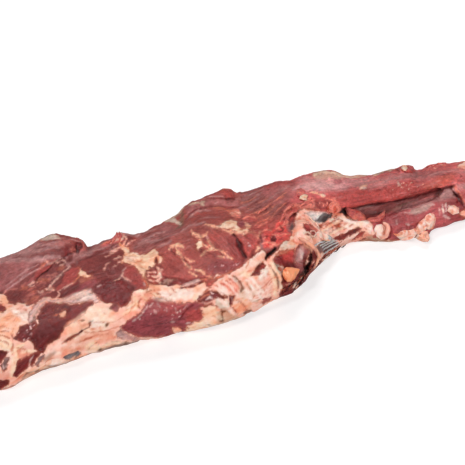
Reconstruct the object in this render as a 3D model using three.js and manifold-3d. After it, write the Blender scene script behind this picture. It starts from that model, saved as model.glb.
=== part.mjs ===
// A raw veal tenderloin, untrimmed, lying on a flat surface.
// The thick head is at -X and the thin tail at +X. The flank with the fat seam faces -Y.
// Millimetres, +Z up. The origin is the middle of the footprint, on the surface that it lies on.
//
// Each muscle is a sphere drawn out along a curve, so that it is closed and has round ends.
// The muscles and lumps of fat are then fused into one solid, because the cut is one piece of meat.
import * as THREE from "three";
import { mergeVertices } from "three/addons/utils/BufferGeometryUtils.js";
import { ImprovedNoise } from "three/addons/math/ImprovedNoise.js";
import Module from "manifold-3d";

// Driving dimensions, in millimetres
const HEAD_END = -205; // the head's far end
const TAIL_END = 232; // the tail's tip
const HEAD_WIDTH = 80;
const HEAD_HEIGHT = 36;
const MIDDLE_WIDTH = 97;
const MIDDLE_HEIGHT = 40;
const TAIL_WIDTH = 51;
const TAIL_HEIGHT = 36;
const CHAIN_WIDTH = 27;
const CHAIN_HEIGHT = 18;
const LOBE_WIDTH = 45; // the side muscle of the head
const SLAB_HEIGHT = 20; // the upper slab of the head
const FLOOR_LEVEL = 1.2; // where the underside is trimmed flat, before it is set on the surface
const BLOCK_HEIGHT = 60; // the block that trims the underside
const BLOCK_SIDE = 700;

// Unevenness of the flesh: broad swellings and smaller lumps
const SWELL_WAVE = 46;
const SWELL_HEIGHT = 2.2;
const LUMP_WAVE = 19;
const LUMP_HEIGHT = 0.9;

const noise = new ImprovedNoise();
const wasm = await Module();
wasm.setup();

// The height of an uneven pattern of the given wavelength at a point
const waveAt = (p, wave, shift) => noise.noise(p.x / wave + shift, p.y / wave, p.z / wave);

// A muscle or a lump of fat, drawn out from a sphere.
// Each station is [x, y, z, width, height] at the middle of the section.
// blunt is 1 for a pointed, egg-like end and larger for a fuller one.
// full is the section's power: 2 is an ellipse and more is squarer.
// shift moves the uneven pattern, so that no two muscles have the same one.
function drawnOut({ stations, around = 24, along = 28, blunt = 3, full = 2.3, rough = 1, shift = 0 }) {
  const middles = stations.map(([x, y, z]) => new THREE.Vector3(x, y, z));
  const halves = stations.map(([, , , width, height]) => new THREE.Vector3(width / 2, height / 2, 0));
  const middle = new THREE.CatmullRomCurve3(middles);
  const girth = new THREE.CatmullRomCurve3(halves);
  const geometry = new THREE.SphereGeometry(1, around, along);
  const position = geometry.getAttribute("position");
  const up = new THREE.Vector3(0, 0, 1);
  const point = new THREE.Vector3();
  for (let i = 0; i < position.count; i++) {
    point.fromBufferAttribute(position, i);
    const polar = Math.acos(THREE.MathUtils.clamp(point.y, -1, 1));
    // rings stand closer together near the two ends
    const t = THREE.MathUtils.clamp(polar / Math.PI - 0.09 * Math.sin(2 * polar), 0, 1);
    const swell = Math.pow(1 - Math.pow(Math.abs(2 * t - 1), 2 * blunt), 0.5);
    const tangent = middle.getTangent(t);
    const side = new THREE.Vector3().crossVectors(up, tangent).normalize();
    const lift = new THREE.Vector3().crossVectors(tangent, side);
    const angle = Math.atan2(point.z, point.x);
    const c = Math.cos(angle);
    const s = Math.sin(angle);
    const power = Math.pow(Math.abs(c), full) + Math.pow(Math.abs(s), full);
    const superRound = Math.pow(power, -1 / full);
    const { x: halfWidth, y: halfHeight } = girth.getPoint(t);
    const radial = side.clone().multiplyScalar(c * superRound * halfWidth)
      .addScaledVector(lift, s * superRound * halfHeight).multiplyScalar(swell);
    const place = middle.getPoint(t).add(radial);
    const swellings = SWELL_HEIGHT * waveAt(place, SWELL_WAVE, shift);
    const lumps = LUMP_HEIGHT * waveAt(place, LUMP_WAVE, shift);
    const uneven = rough * Math.min(1, swell * 2) * (swellings + lumps);
    if (radial.lengthSq() > 0) place.addScaledVector(radial.normalize(), uneven);
    position.setXYZ(i, place.x, place.y, place.z);
  }
  return solidOf(geometry);
}

// A round lump: a sphere with three half sizes, turned about the vertical and made uneven.
function lump({ at, half, turn = 0, rough = 1, detail = 10 }) {
  const geometry = new THREE.SphereGeometry(1, detail, Math.round(detail * 0.7));
  geometry.scale(...half);
  const position = geometry.getAttribute("position");
  const point = new THREE.Vector3();
  for (let i = 0; i < position.count; i++) {
    point.fromBufferAttribute(position, i);
    const grow = 1 + rough * 0.25 * noise.noise(point.x / 7 + at[0], point.y / 7, point.z / 7);
    position.setXYZ(i, point.x * grow, point.y * grow, point.z * grow);
  }
  geometry.rotateZ(turn);
  geometry.translate(...at);
  return solidOf(geometry);
}

// The closed solid of a geometry whose seam and pole vertices coincide.
function solidOf(geometry) {
  geometry.deleteAttribute("normal");
  geometry.deleteAttribute("uv");
  const merged = mergeVertices(geometry, 1e-3);
  return new wasm.Manifold(new wasm.Mesh({
    numProp: 3,
    vertProperties: new Float32Array(merged.getAttribute("position").array),
    triVerts: new Uint32Array(merged.index.array),
  }));
}

// The main muscle, from the head to where the tail muscle takes over
function mainMuscle() {
  return drawnOut({
    stations: [
      [HEAD_END, 6, 13, 50, 24],
      [-182, 3, 16, 74, 34],
      [-155, 2, 17, HEAD_WIDTH, HEAD_HEIGHT],
      [-125, 4, 16, HEAD_WIDTH, 35],
      [-92, 4, 17, HEAD_WIDTH, HEAD_HEIGHT],
      [-60, 3, 17, 78, HEAD_HEIGHT],
      [-32, 1, 18, 84, 37],
      [-6, 3, 19, MIDDLE_WIDTH, MIDDLE_HEIGHT],
      [18, 9, 20, 89, MIDDLE_HEIGHT],
      [38, 13, 18, 74, 36],
      [58, 22, 15, 46, 28],
    ],
    around: 36, along: 46, blunt: 5, full: 2.5,
  });
}

// The side muscle of the head, lying along the back with its cut end free
function headLobe() {
  return drawnOut({
    stations: [
      [-196, 12, 20, 34, 20],
      [-165, 15, 22, 40, 24],
      [-138, 15, 24, 40, 25],
      [-110, 25, 29, LOBE_WIDTH, 30],
      [-79, 32, 30, 38, 26],
    ],
    around: 22, along: 24, blunt: 5, full: 2.4, shift: 3,
  });
}

// The upper slab of the head muscle, whose frayed end stands above the next muscle
function headSlab() {
  return drawnOut({
    stations: [
      [-190, -4, 22, 34, 18],
      [-150, -8, 26, 46, SLAB_HEIGHT],
      [-110, -8, 28, 50, SLAB_HEIGHT],
      [-80, -5, 29, 52, SLAB_HEIGHT],
      [-58, 0, 29, 46, 16],
    ],
    around: 22, along: 24, blunt: 7, full: 3, shift: 13,
  });
}

// The upper slab of the middle, which overhangs the seam of fat
function middleSlab() {
  return drawnOut({
    stations: [
      [-54, -12, 26, 38, 18],
      [-31, -8, 29, 58, 22],
      [-10, -4, 31, 62, 24],
      [24, 6, 29, 48, 22],
    ],
    around: 24, along: 20, blunt: 5, full: 3, shift: 17,
  });
}

// The long muscle of the tail, a rounded strap along the back
function tailMuscle() {
  return drawnOut({
    stations: [
      [6, 23, 21, 42, 35],
      [36, 26, 19.5, TAIL_WIDTH, 38],
      [66, 29, 17, TAIL_WIDTH, TAIL_HEIGHT],
      [92, 27, 16, 45, 32],
      [118, 24, 14, 39, 29],
      [142, 23, 14, 38, 28],
      [168, 18, 13, 36, 26],
      [200, 14, 11, 32, 22],
      [TAIL_END, 11, 8, 20, 13],
    ],
    around: 24, along: 42, blunt: 6, full: 2.3, shift: 7,
  });
}

// The chain, the thinner strand in front of the tail
function chain() {
  return drawnOut({
    stations: [
      [50, 4, 9, 24, 20],
      [70, 8, 9, 26, 19],
      [84, 10, 9, CHAIN_WIDTH, CHAIN_HEIGHT],
      [104, 6, 8.5, CHAIN_WIDTH, CHAIN_HEIGHT],
      [128, 2, 8.5, CHAIN_WIDTH, CHAIN_HEIGHT],
      [156, 3, 8.5, CHAIN_WIDTH, CHAIN_HEIGHT],
      [184, 4, 8, 22, 15],
      [208, 5, 7, 16, 12],
    ],
    around: 18, along: 28, blunt: 5, shift: 11,
  });
}

// The muscles that bulge out of the flank between the seams of fat
function flankMuscles() {
  const bulges = [
    { stations: [[-90, -23, 11, 14, 16], [-52, -26, 13, 22, 24], [-12, -31, 14, 16, 20]], shift: 1 },
    { stations: [[-142, -26, 14, 14, 14], [-120, -26, 17, 22, 22], [-92, -23, 22, 14, 14]], shift: 5 },
    { stations: [[-182, -25, 8, 10, 14], [-158, -28, 9, 16, 18], [-134, -28, 10, 10, 14]], shift: 9 },
  ];
  return bulges.map((b) => drawnOut({ ...b, around: 16, along: 14, blunt: 1.5 }));
}

// The seam of fat that runs along the upper edge of the flank
function fatSeam() {
  return drawnOut({
    stations: [
      [-168, -28, 22, 12, 10],
      [-140, -27, 26, 14, 10],
      [-112, -25, 28, 13, 10],
      [-88, -28, 26, 14, 11],
      [-60, -32, 24, 15, 13],
      [-34, -35, 24, 15, 14],
      [-8, -36, 27, 16, 15],
      [12, -28, 29, 18, 15],
      [30, -18, 30, 14, 12],
    ],
    around: 10, along: 32, blunt: 5, shift: 2,
  });
}

// The strap of fat and sinew that crosses where the tail begins
function crossingStrap() {
  return drawnOut({
    stations: [
      [22, -28, 10, 12, 10],
      [33, -27, 26, 12, 10],
      [38, -16, 33, 12, 10],
      [44, -2, 34, 12, 9],
    ],
    around: 10, along: 16, blunt: 3, shift: 19,
  });
}

// The bundle of sinews that runs down from the strap to the start of the chain
function sinews() {
  return drawnOut({
    stations: [
      [24, -24, 10, 12, 18],
      [44, -10, 11, 16, 24],
      [60, 0, 12, 16, 24],
      [76, 6, 11, 14, 20],
    ],
    around: 14, along: 18, blunt: 3, shift: 31,
  });
}

// The flap of red meat that folds over both strands of the tail
function tailFlap() {
  return drawnOut({
    stations: [
      [158, 0, 18, 16, 9],
      [176, 4, 20, 22, 10],
      [198, 8, 17, 20, 9],
    ],
    around: 14, along: 12, blunt: 2, shift: 23,
  });
}

const muscles = [
  mainMuscle(), headLobe(), headSlab(), middleSlab(), tailMuscle(), chain(),
  fatSeam(), crossingStrap(), sinews(), tailFlap(), ...flankMuscles(),
];

// Flaps and folds that stand up along the back edge
const flaps = [
  lump({ at: [8, 37, 35], half: [15, 9, 6], turn: 0.15 }),
  lump({ at: [-57, 28, 30], half: [13, 9, 6], turn: 0.25 }),
  lump({ at: [126, 32, 21], half: [10, 8, 5], turn: 0.1 }),
];

// Loose lumps of fat left on the flank
const fatLumps = [
  lump({ at: [22, -27, 18], half: [7, 5, 6], turn: 0.2 }),
  lump({ at: [112, -8, 11], half: [7, 5, 5] }),
  lump({ at: [122, -12, 6], half: [6, 5, 5] }),
  lump({ at: [96, -2, 10], half: [7, 5, 6] }),
];

// The channel between the two strands of the tail
function channel() {
  return drawnOut({
    stations: [
      [74, 8, 24, 6, 10],
      [92, 6, 21, 8, 12],
      [118, 5, 19, 8, 11],
      [144, 6, 19, 6, 9],
      [162, 8, 19, 3, 5],
    ],
    around: 12, along: 26, blunt: 3, rough: 0.4, shift: 29,
  });
}

// Small hollows between the sinews
const pockets = [
  lump({ at: [34, -30, 22], half: [6, 7, 8], turn: 0.5 }),
  lump({ at: [4, -36, 38], half: [6, 2.5, 5], turn: 0.6 }),
  lump({ at: [54, -6, 31], half: [6, 5, 4], turn: 0.2 }),
  lump({ at: [74, 4, 26], half: [5, 4, 5] }),
];

const fused = wasm.Manifold.union([...muscles, ...flaps, ...fatLumps]);
const hollowed = fused.subtract(wasm.Manifold.union([channel(), ...pockets]));

// The underside is trimmed flat where the meat lies on the surface
const underside = new THREE.BoxGeometry(BLOCK_SIDE, BLOCK_SIDE, BLOCK_HEIGHT);
underside.translate(0, 0, FLOOR_LEVEL - BLOCK_HEIGHT / 2);
const resting = hollowed.subtract(solidOf(underside));

const mesh = resting.getMesh();
const geometry = new THREE.BufferGeometry()
  .setAttribute("position", new THREE.BufferAttribute(mesh.vertProperties, mesh.numProp))
  .setIndex(new THREE.BufferAttribute(mesh.triVerts, 1));
geometry.computeBoundingBox();
const { min, max } = geometry.boundingBox;
geometry.translate(-(min.x + max.x) / 2, -(min.y + max.y) / 2, -min.z);
geometry.computeVertexNormals();

const raw = new THREE.MeshStandardMaterial({ color: 0x9a4a48, roughness: 0.4, metalness: 0 });
const tenderloin = new THREE.Mesh(geometry, raw);
tenderloin.name = "tenderloin";

const veal = new THREE.Group();
veal.add(tenderloin);

export default veal;
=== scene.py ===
# %% [markdown]
# A raw veal tenderloin, untrimmed: a long muscle with fat, sinew and silverskin still on it.
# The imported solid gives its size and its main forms. This lesson turns it into flesh: it makes the
# surface fine enough to hold detail, presses seams, folds and fat into it, and colours the tissues.

# %% Load the frame
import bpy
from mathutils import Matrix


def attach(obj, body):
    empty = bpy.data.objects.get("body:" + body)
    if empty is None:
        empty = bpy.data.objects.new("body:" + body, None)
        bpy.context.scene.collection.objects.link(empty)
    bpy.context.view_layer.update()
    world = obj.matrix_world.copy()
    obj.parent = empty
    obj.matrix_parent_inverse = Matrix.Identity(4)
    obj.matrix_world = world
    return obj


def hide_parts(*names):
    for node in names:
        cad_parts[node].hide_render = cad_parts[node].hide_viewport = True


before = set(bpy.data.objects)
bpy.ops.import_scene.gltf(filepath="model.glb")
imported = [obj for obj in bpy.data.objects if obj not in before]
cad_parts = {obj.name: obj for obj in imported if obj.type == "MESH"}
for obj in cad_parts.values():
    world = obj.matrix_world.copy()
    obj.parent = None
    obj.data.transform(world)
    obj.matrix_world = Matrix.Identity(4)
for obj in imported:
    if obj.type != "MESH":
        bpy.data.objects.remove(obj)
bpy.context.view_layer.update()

# %% [markdown]
# The camera comes first, because the marks on the meat are placed by where they show in the picture.
# It stands about 84 cm away, in front of the fat side and a little to the head's side, and looks down.
# A long lens from there gives nearly no perspective, like a picture taken on a table.

# %% Set up the camera
import bpy
import numpy as np
from mathutils import Vector
from mathutils.bvhtree import BVHTree

PICTURE = 465  # pixels on each side
SENSOR = 36.0
LENS = 110.55
EYE = Vector((-0.3263, -0.6187, 0.5015))
AIM = Vector((-0.0101, 0.0018, 0.0318))

bpy.ops.object.select_all(action="DESELECT")
bpy.ops.object.camera_add(location=EYE)
camera = bpy.context.object
camera.name = "camera"
camera.rotation_euler = (AIM - EYE).to_track_quat("-Z", "Y").to_euler()
camera.data.lens = LENS
camera.data.sensor_width = SENSOR
bpy.context.scene.camera = camera
bpy.context.view_layer.update()
SIDE, UPWARD, BACKWARD = (np.array(camera.matrix_world.col[i][:3]) for i in range(3))
print("the camera is", round((AIM - EYE).length, 3), "m from the middle of the picture")


def picture_spot(points):
    """Where points in space show in the picture, in pixels from its top left corner."""
    away = np.asarray(points) - np.array(EYE)
    depth = -(away @ BACKWARD)
    focal = PICTURE * LENS / SENSOR
    return np.stack([PICTURE / 2 + focal * (away @ SIDE) / depth,
                     PICTURE / 2 - focal * (away @ UPWARD) / depth], 1)


# %% [markdown]
# Raw meat is wet, so it mirrors the room. Too much room light would lay a grey haze over the red, so the
# room stays dim and three large soft lamps do the work. The floor glows a little, as a light table
# does, which keeps it white and the shadows faint.

# %% Add the floor and the lamps
FLOOR_SIZE = 6.0
FLOOR_GLOW = 0.66
ROOM_LIGHT = 0.14

bpy.ops.object.select_all(action="DESELECT")
bpy.ops.mesh.primitive_plane_add(size=FLOOR_SIZE, location=(0, 0, -0.0002))
floor = bpy.context.object
floor.name = "floor"
paper = bpy.data.materials.new("pale_floor")
paper.use_nodes = True
paper_shader = paper.node_tree.nodes["Principled BSDF"]
paper_shader.inputs["Base Color"].default_value = (0.44, 0.44, 0.44, 1)
paper_shader.inputs["Roughness"].default_value = 0.9
paper_shader.inputs["Specular IOR Level"].default_value = 0.0
paper_shader.inputs["Emission Color"].default_value = (1, 1, 1, 1)
paper_shader.inputs["Emission Strength"].default_value = FLOOR_GLOW
floor.data.materials.append(paper)
floor.visible_glossy = False

room = bpy.data.worlds.new("pale_room")
room.use_nodes = True
room.node_tree.nodes["Background"].inputs["Color"].default_value = (1.0, 0.99, 0.98, 1)
room.node_tree.nodes["Background"].inputs["Strength"].default_value = ROOM_LIGHT
bpy.context.scene.world = room
bpy.context.scene.view_settings.view_transform = "Standard"


def add_lamp(name, place, aim, size, power, colour=(1, 1, 1)):
    """A square soft lamp that shines from a place towards another."""
    bpy.ops.object.light_add(type="AREA", location=place)
    lamp = bpy.context.object
    lamp.name = name
    lamp.data.size = size
    lamp.data.energy = power
    lamp.data.color = colour
    lamp.rotation_euler = (Vector(aim) - Vector(place)).to_track_quat("-Z", "Y").to_euler()
    return lamp


add_lamp("top_lamp", (0.10, 0.55, 1.65), (0, 0, 0.02), 0.8, 16.0)
add_lamp("left_lamp", (-1.30, -1.00, 1.55), (0, 0, 0.02), 0.25, 19.0)
add_lamp("front_lamp", (0.90, -1.90, 1.10), (0, 0, 0.02), 0.5, 20.0)

# %% [markdown]
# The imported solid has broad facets. A copy of it is rebuilt by voxel remesh as an even skin of small
# squares, and smoothed until the facets are gone. The side that the picture shows is divided once
# more, so that its squares are about the size of one pixel. Sculpting by hand would start here too.

# %% Make the skin
SKIN_CELL = 0.00158
SMOOTH_ROUNDS = 12


def only(thing):
    """Selects one object alone and makes it the active one."""
    bpy.ops.object.select_all(action="DESELECT")
    thing.hide_set(False)
    thing.select_set(True)
    bpy.context.view_layer.objects.active = thing


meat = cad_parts["tenderloin"].copy()
meat.data = meat.data.copy()
for key in list(meat.keys()):
    del meat[key]
meat.name = "raw_tenderloin"
meat.parent = None
bpy.context.collection.objects.link(meat)
only(meat)
meat.data.materials.clear()
bpy.ops.object.mode_set(mode="EDIT")
bpy.ops.mesh.select_all(action="SELECT")
bpy.ops.mesh.remove_doubles(threshold=1e-6)
bpy.ops.object.mode_set(mode="OBJECT")
meat.data.remesh_voxel_size = SKIN_CELL
bpy.ops.object.voxel_remesh()


def smooth_out(thing, rounds, factor=0.5):
    """Evens out a mesh with the Smooth modifier."""
    only(thing)
    bpy.ops.object.modifier_add(type="SMOOTH")
    thing.modifiers[-1].factor = factor
    thing.modifiers[-1].iterations = rounds
    bpy.ops.object.modifier_apply(modifier=thing.modifiers[-1].name)


smooth_out(meat, SMOOTH_ROUNDS)
print("skin after remesh:", len(meat.data.polygons), "faces")


# %% Divide the side that shows
def coordinates(mesh):
    """The places of a mesh's vertices as rows of an array."""
    flat = np.zeros(len(mesh.vertices) * 3)
    mesh.vertices.foreach_get("co", flat)
    return flat.reshape(-1, 3)


def directions(mesh):
    """The outward directions at a mesh's vertices as rows of an array."""
    flat = np.zeros(len(mesh.vertices) * 3)
    mesh.vertices.foreach_get("normal", flat)
    return flat.reshape(-1, 3)


centres = np.zeros(len(meat.data.polygons) * 3)
meat.data.polygons.foreach_get("center", centres)
facings = np.zeros(len(meat.data.polygons) * 3)
meat.data.polygons.foreach_get("normal", facings)
spots = picture_spot(centres.reshape(-1, 3))
shows = (facings.reshape(-1, 3) @ BACKWARD > -0.02) & (spots[:, 0] > -8) & (spots[:, 0] < PICTURE + 8)
bpy.ops.object.mode_set(mode="EDIT")
bpy.ops.mesh.select_mode(type="FACE")
bpy.ops.mesh.select_all(action="DESELECT")
bpy.ops.object.mode_set(mode="OBJECT")
meat.data.polygons.foreach_set("select", shows)
bpy.ops.object.mode_set(mode="EDIT")
bpy.ops.mesh.subdivide(number_cuts=1, smoothness=0)
bpy.ops.object.mode_set(mode="OBJECT")
smooth_out(meat, 3)
triangles = sum(len(p.vertices) - 2 for p in meat.data.polygons)
print("skin after dividing:", triangles, "triangles")

# %% [markdown]
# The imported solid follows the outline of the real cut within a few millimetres. Here the skin is pulled
# the rest of the way: near the top edge it moves up or down, and near the foot it moves over the table,
# so that it still lies on it.

# %% Pull the outline into shape
TOP_EDGE = [
    (0, 258), (10, 254), (16, 252), (25, 248), (32, 243), (40, 238), (47, 235), (56, 233), (66, 235),
    (78, 238), (84, 240), (88, 247), (95, 244), (104, 240), (112, 237), (118, 231), (122, 232), (127, 233),
    (134, 234), (143, 232), (150, 228), (160, 224), (168, 219), (176, 213), (183, 206), (190, 202),
    (200, 198), (212, 193), (224, 188), (231, 189), (236, 192), (243, 192), (256, 188), (264, 185),
    (276, 181), (290, 180), (302, 175), (316, 172), (322, 171), (330, 170), (336, 171), (345, 175),
    (352, 176), (360, 175), (370, 175), (376, 173), (385, 170), (396, 168), (402, 165), (411, 166),
    (416, 170), (422, 169), (430, 164), (440, 163), (450, 163), (465, 161),
]
FOOT_EDGE = [
    (0, 391), (9, 389), (16, 386), (24, 380), (32, 376), (44, 371), (60, 365), (76, 359), (92, 353),
    (101, 352), (112, 348), (126, 344), (140, 340), (150, 339), (160, 338), (170, 335), (180, 332),
    (192, 330), (206, 328), (222, 324), (236, 319), (246, 314), (256, 310), (266, 305), (280, 298),
    (292, 294), (300, 287), (306, 282), (310, 276), (318, 268), (326, 260), (336, 251), (345, 245),
    (352, 242), (370, 241), (390, 242), (404, 240), (414, 238), (420, 240), (426, 241), (430, 234),
    (436, 229), (448, 226), (456, 222), (465, 220),
]
REACH_DOWN = 22
REACH_UP = 14


def ramp(low, high, value):
    """0 below low, 1 above high, and a smooth rise between."""
    t = np.clip((value - low) / (high - low), 0, 1)
    return t * t * (3 - 2 * t)


def edge_shift(spots, edge, top):
    """How many pixels the outline is from an edge, for each column of the picture."""
    columns = np.arange(-12, PICTURE + 13)
    bins = np.clip(np.rint(spots[:, 0]).astype(int) + 12, 0, len(columns) - 1)
    found = np.full(len(columns), 1e9 if top else -1e9)
    (np.minimum if top else np.maximum).at(found, bins, spots[:, 1])
    reach = [slice(max(0, i - 1), i + 2) for i in range(len(columns))]
    found = np.array([found[r].min() if top else found[r].max() for r in reach])
    wanted = np.interp(columns, [p[0] for p in edge], [p[1] for p in edge])
    gap = np.clip(wanted - found, -6, 6)
    gap = np.convolve(np.pad(gap, 2, "edge"), np.ones(5) / 5, "valid")
    inside = ramp(-12, 4, columns) * (1 - ramp(PICTURE - 4, PICTURE + 12, columns))
    return np.interp(spots[:, 0], columns, gap * inside), np.interp(spots[:, 0], columns, found)


OVER_TABLE = np.array((-BACKWARD[0], -BACKWARD[1], 0.0))
OVER_TABLE /= np.linalg.norm(OVER_TABLE)
place = coordinates(meat.data)
for _ in range(2):
    spots = picture_spot(place)
    metres = (np.linalg.norm(place - np.array(EYE), axis=1) / (PICTURE * LENS / SENSOR))
    gap, found = edge_shift(spots, TOP_EDGE, True)
    gap *= 1 - ramp(0, REACH_DOWN, spots[:, 1] - found)
    place = place - UPWARD * (gap * metres)[:, None]
    gap, found = edge_shift(spots, FOOT_EDGE, False)
    gap *= 1 - ramp(0, REACH_UP, found - spots[:, 1])
    place = place - OVER_TABLE * (gap * metres)[:, None] / float(UPWARD @ OVER_TABLE)
    print("the outline was off by up to", round(float(np.abs(gap).max()), 1), "pixels at the foot")
place[:, 2] = np.maximum(place[:, 2], 0)
meat.data.vertices.foreach_set("co", place.ravel())
meat.data.update()
smooth_out(meat, 2)

# %% [markdown]
# Everything on the meat is uneven, so a repeatable noise is needed: values between -1 and 1 that change
# smoothly over a given distance. A fold is where such a noise passes through zero, which gives long
# winding lines like the creases in fat.

# %% Noise
def patches(points, size, seed=0):
    """Smooth noise from -1 to 1 that changes over the given size, in metres."""
    places = points / size + seed * 17.31
    cell = np.floor(places).astype(np.int64)
    part = places - cell
    ease = part * part * (3 - 2 * part)
    total = np.zeros(len(points))
    for corner in range(8):
        step = np.array([corner & 1, corner >> 1 & 1, corner >> 2 & 1])
        key = (cell + step) @ np.array([73856093, 19349663, 83492791]) + seed * 2654435
        key = (key ^ (key >> 13)) * 1274126177
        value = ((key ^ (key >> 16)) & 0xFFFF) / 32767.5 - 1
        total += value * np.where(step, ease, 1 - ease).prod(1)
    return total


def folds(points, size, width, seed):
    """1 on winding lines and 0 away from them."""
    bent = points + np.stack([patches(points, size, seed + k) for k in (1, 2, 3)], 1) * size * 0.3
    return 1 - ramp(0, width, np.abs(patches(bent, size, seed)))


place = coordinates(meat.data)
outward = directions(meat.data)
print("noise on", len(place), "vertices runs from", round(patches(place, 0.01).min(), 2))

# %% [markdown]
# The marks are drawn as on a picture and carried on to the skin, so each vertex needs its pixel, and
# whether the camera sees it. What it doesn't see gets the plain pattern of the hidden sides.

# %% Find what the picture shows
pixel = picture_spot(place)
to_eye = np.array(EYE) - place
to_eye /= np.linalg.norm(to_eye, axis=1)[:, None]
facing = (outward * to_eye).sum(1)
tree = BVHTree.FromPolygons([v.co for v in meat.data.vertices], [p.vertices for p in meat.data.polygons])
open_view = np.array([
    tree.ray_cast(Vector(p + n * 0.0012), Vector(e))[0] is None if f > -0.1 else False
    for p, n, e, f in zip(place, outward, to_eye, facing)
])
in_picture = ramp(-14, -4, pixel[:, 0]) * (1 - ramp(PICTURE + 4, PICTURE + 14, pixel[:, 0]))
pairs = np.zeros(len(meat.data.edges) * 2, np.int32)
meat.data.edges.foreach_get("vertices", pairs)
one, other = pairs.reshape(-1, 2).T
neighbours = np.bincount(one, minlength=len(place)) + np.bincount(other, minlength=len(place))


def averaged(values, rounds):
    """Values blended with those of the neighbours, several times."""
    for _ in range(rounds):
        total = np.bincount(one, values[other], len(values)) + np.bincount(other, values[one], len(values))
        values = 0.4 * values + 0.6 * total / neighbours
    return values


PAST_THE_EDGE = 10  # rounds of spreading, so that the marks run a little past what shows
seen = ramp(0.02, 0.35, averaged(open_view * ramp(-0.05, 0.02, facing), PAST_THE_EDGE)) * in_picture
print("seen vertices:", int((seen > 0.5).sum()), "of", len(place))

# %% [markdown]
# Meat has few tissues, and each has its own colour. Muscle is brown-red where air has dried it, bright
# red where it was cut last, and maroon in the thick parts. Fat is cream, peach or pink. Silverskin is a
# thin mauve or grey film. These colours are linear, as Blender's sockets take them.

# %% Name the tissues
# Mauve, lilac and the pale pink sheen colour also stand for painted sheen and painted glints; black and
# umber, where they fill slits, gaps and pockets, stand for painted shade.
FLESH = {
    "brown": (0.212, 0.040, 0.036),
    "warm": (0.375, 0.074, 0.060),
    "rosy": (0.580, 0.112, 0.108),
    "maroon": (0.170, 0.016, 0.017),
    "red": (0.45, 0.062, 0.053),
    "bright": (0.76, 0.072, 0.060),
    "purple": (0.38, 0.115, 0.110),
    "plum": (0.290, 0.048, 0.060),
    "mauve": (0.46, 0.210, 0.198),
    "ash": (0.27, 0.20, 0.19),
    "lilac": (0.72, 0.46, 0.42),
    "satin": (0.68, 0.31, 0.30),
    "black": (0.030, 0.008, 0.007),
    "umber": (0.085, 0.024, 0.020),
    "olive": (0.22, 0.13, 0.08),
    "rust": (0.52, 0.13, 0.07),
    "salmon": (0.80, 0.22, 0.16),
    "steel": (0.25, 0.245, 0.245),
    "pearl": (0.64, 0.59, 0.58),
}
FAT = {
    "cream": (0.95, 0.66, 0.47),
    "peach": (0.93, 0.46, 0.29),
    "pink": (0.82, 0.38, 0.29),
    "rose": (0.95, 0.52, 0.41),
    "white": (0.97, 0.75, 0.66),
    "orange": (0.92, 0.36, 0.18),
    "bone": (0.70, 0.53, 0.43),
    "silver": (0.80, 0.66, 0.63),
    "tallow": (0.68, 0.45, 0.32),
}
print(len(FLESH), "kinds of flesh and", len(FAT), "kinds of fat")


def colour_of(tissue):
    """The colour of one tissue, flesh or fat."""
    return np.array(FAT[tissue] if tissue in FAT else FLESH[tissue])


# %% [markdown]
# A patch is an outline on the picture, and a streak is a line with a width. Both give a distance to
# their edge, positive inside, and that one number serves twice: it colours the skin, and it raises or
# sinks it. The pixels are first shifted by noise, so that no edge is straight.

# %% Distances to outlines and lines
def distance_in(spots, outline):
    """Distance to an outline in pixels, positive inside it."""
    nearest = np.full(len(spots), 1e9)
    within = np.zeros(len(spots), bool)
    u, v = spots[:, 0], spots[:, 1]
    for (au, av), (bu, bv) in zip(outline, outline[1:] + outline[:1]):
        eu, ev = bu - au, bv - av
        t = np.clip(((u - au) * eu + (v - av) * ev) / (eu * eu + ev * ev + 1e-9), 0, 1)
        nearest = np.minimum(nearest, (u - au - eu * t) ** 2 + (v - av - ev * t) ** 2)
        if ev:
            within ^= ((av <= v) != (bv <= v)) & (u < au + (v - av) * eu / ev)
    return np.where(within, 1, -1) * np.sqrt(nearest)


def distance_along(spots, line, width, swell=0.0):
    """Distance to the edge of a streak in pixels, positive inside it. Its ends taper and its width varies."""
    best = np.full(len(spots), -1e9)
    u, v = spots[:, 0], spots[:, 1]
    steps = len(line) - 1
    for i, ((au, av), (bu, bv)) in enumerate(zip(line, line[1:])):
        eu, ev = bu - au, bv - av
        t = np.clip(((u - au) * eu + (v - av) * ev) / (eu * eu + ev * ev + 1e-9), 0, 1)
        run = (i + t) / steps
        half = width / 2 * (0.35 + 0.65 * np.sin(np.pi * np.clip(run, 0.04, 0.96)) ** 0.6) * (1 + swell)
        best = np.maximum(best, half - np.hypot(u - au - eu * t, v - av - ev * t))
    return best


PIXELS_PER_MM = 1.7
waver = np.stack([patches(place, 0.006, 3), patches(place, 0.006, 4)], 1) * 0.9
waver += np.stack([patches(place, 0.0022, 5), patches(place, 0.0022, 6)], 1) * 0.9
wavy = pixel + waver
calm = pixel + 0.4 * waver
swelling = 0.75 * patches(place, 0.0032, 7) + 0.35 * patches(place, 0.0014, 8)
frayed = 0.7 * patches(place, 0.0019, 18) + 0.7 * patches(place, 0.0011, 19)
print("edges waver by up to", round(float(np.abs(waver).max()), 1), "pixels")

# %% [markdown]
# Five things are kept for each vertex: the colour of its flesh, the colour of its fat, how far inside
# the fat it lies, how much it is raised, and how wet it is. The hidden sides get muscle with broad
# streaks of fat.

# %% Start with the hidden sides
def mixed(first, second, share):
    """A colour between two others, for each vertex."""
    return np.array(first) + np.clip(share, 0, 1)[:, None] * (np.array(second) - np.array(first))


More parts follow.
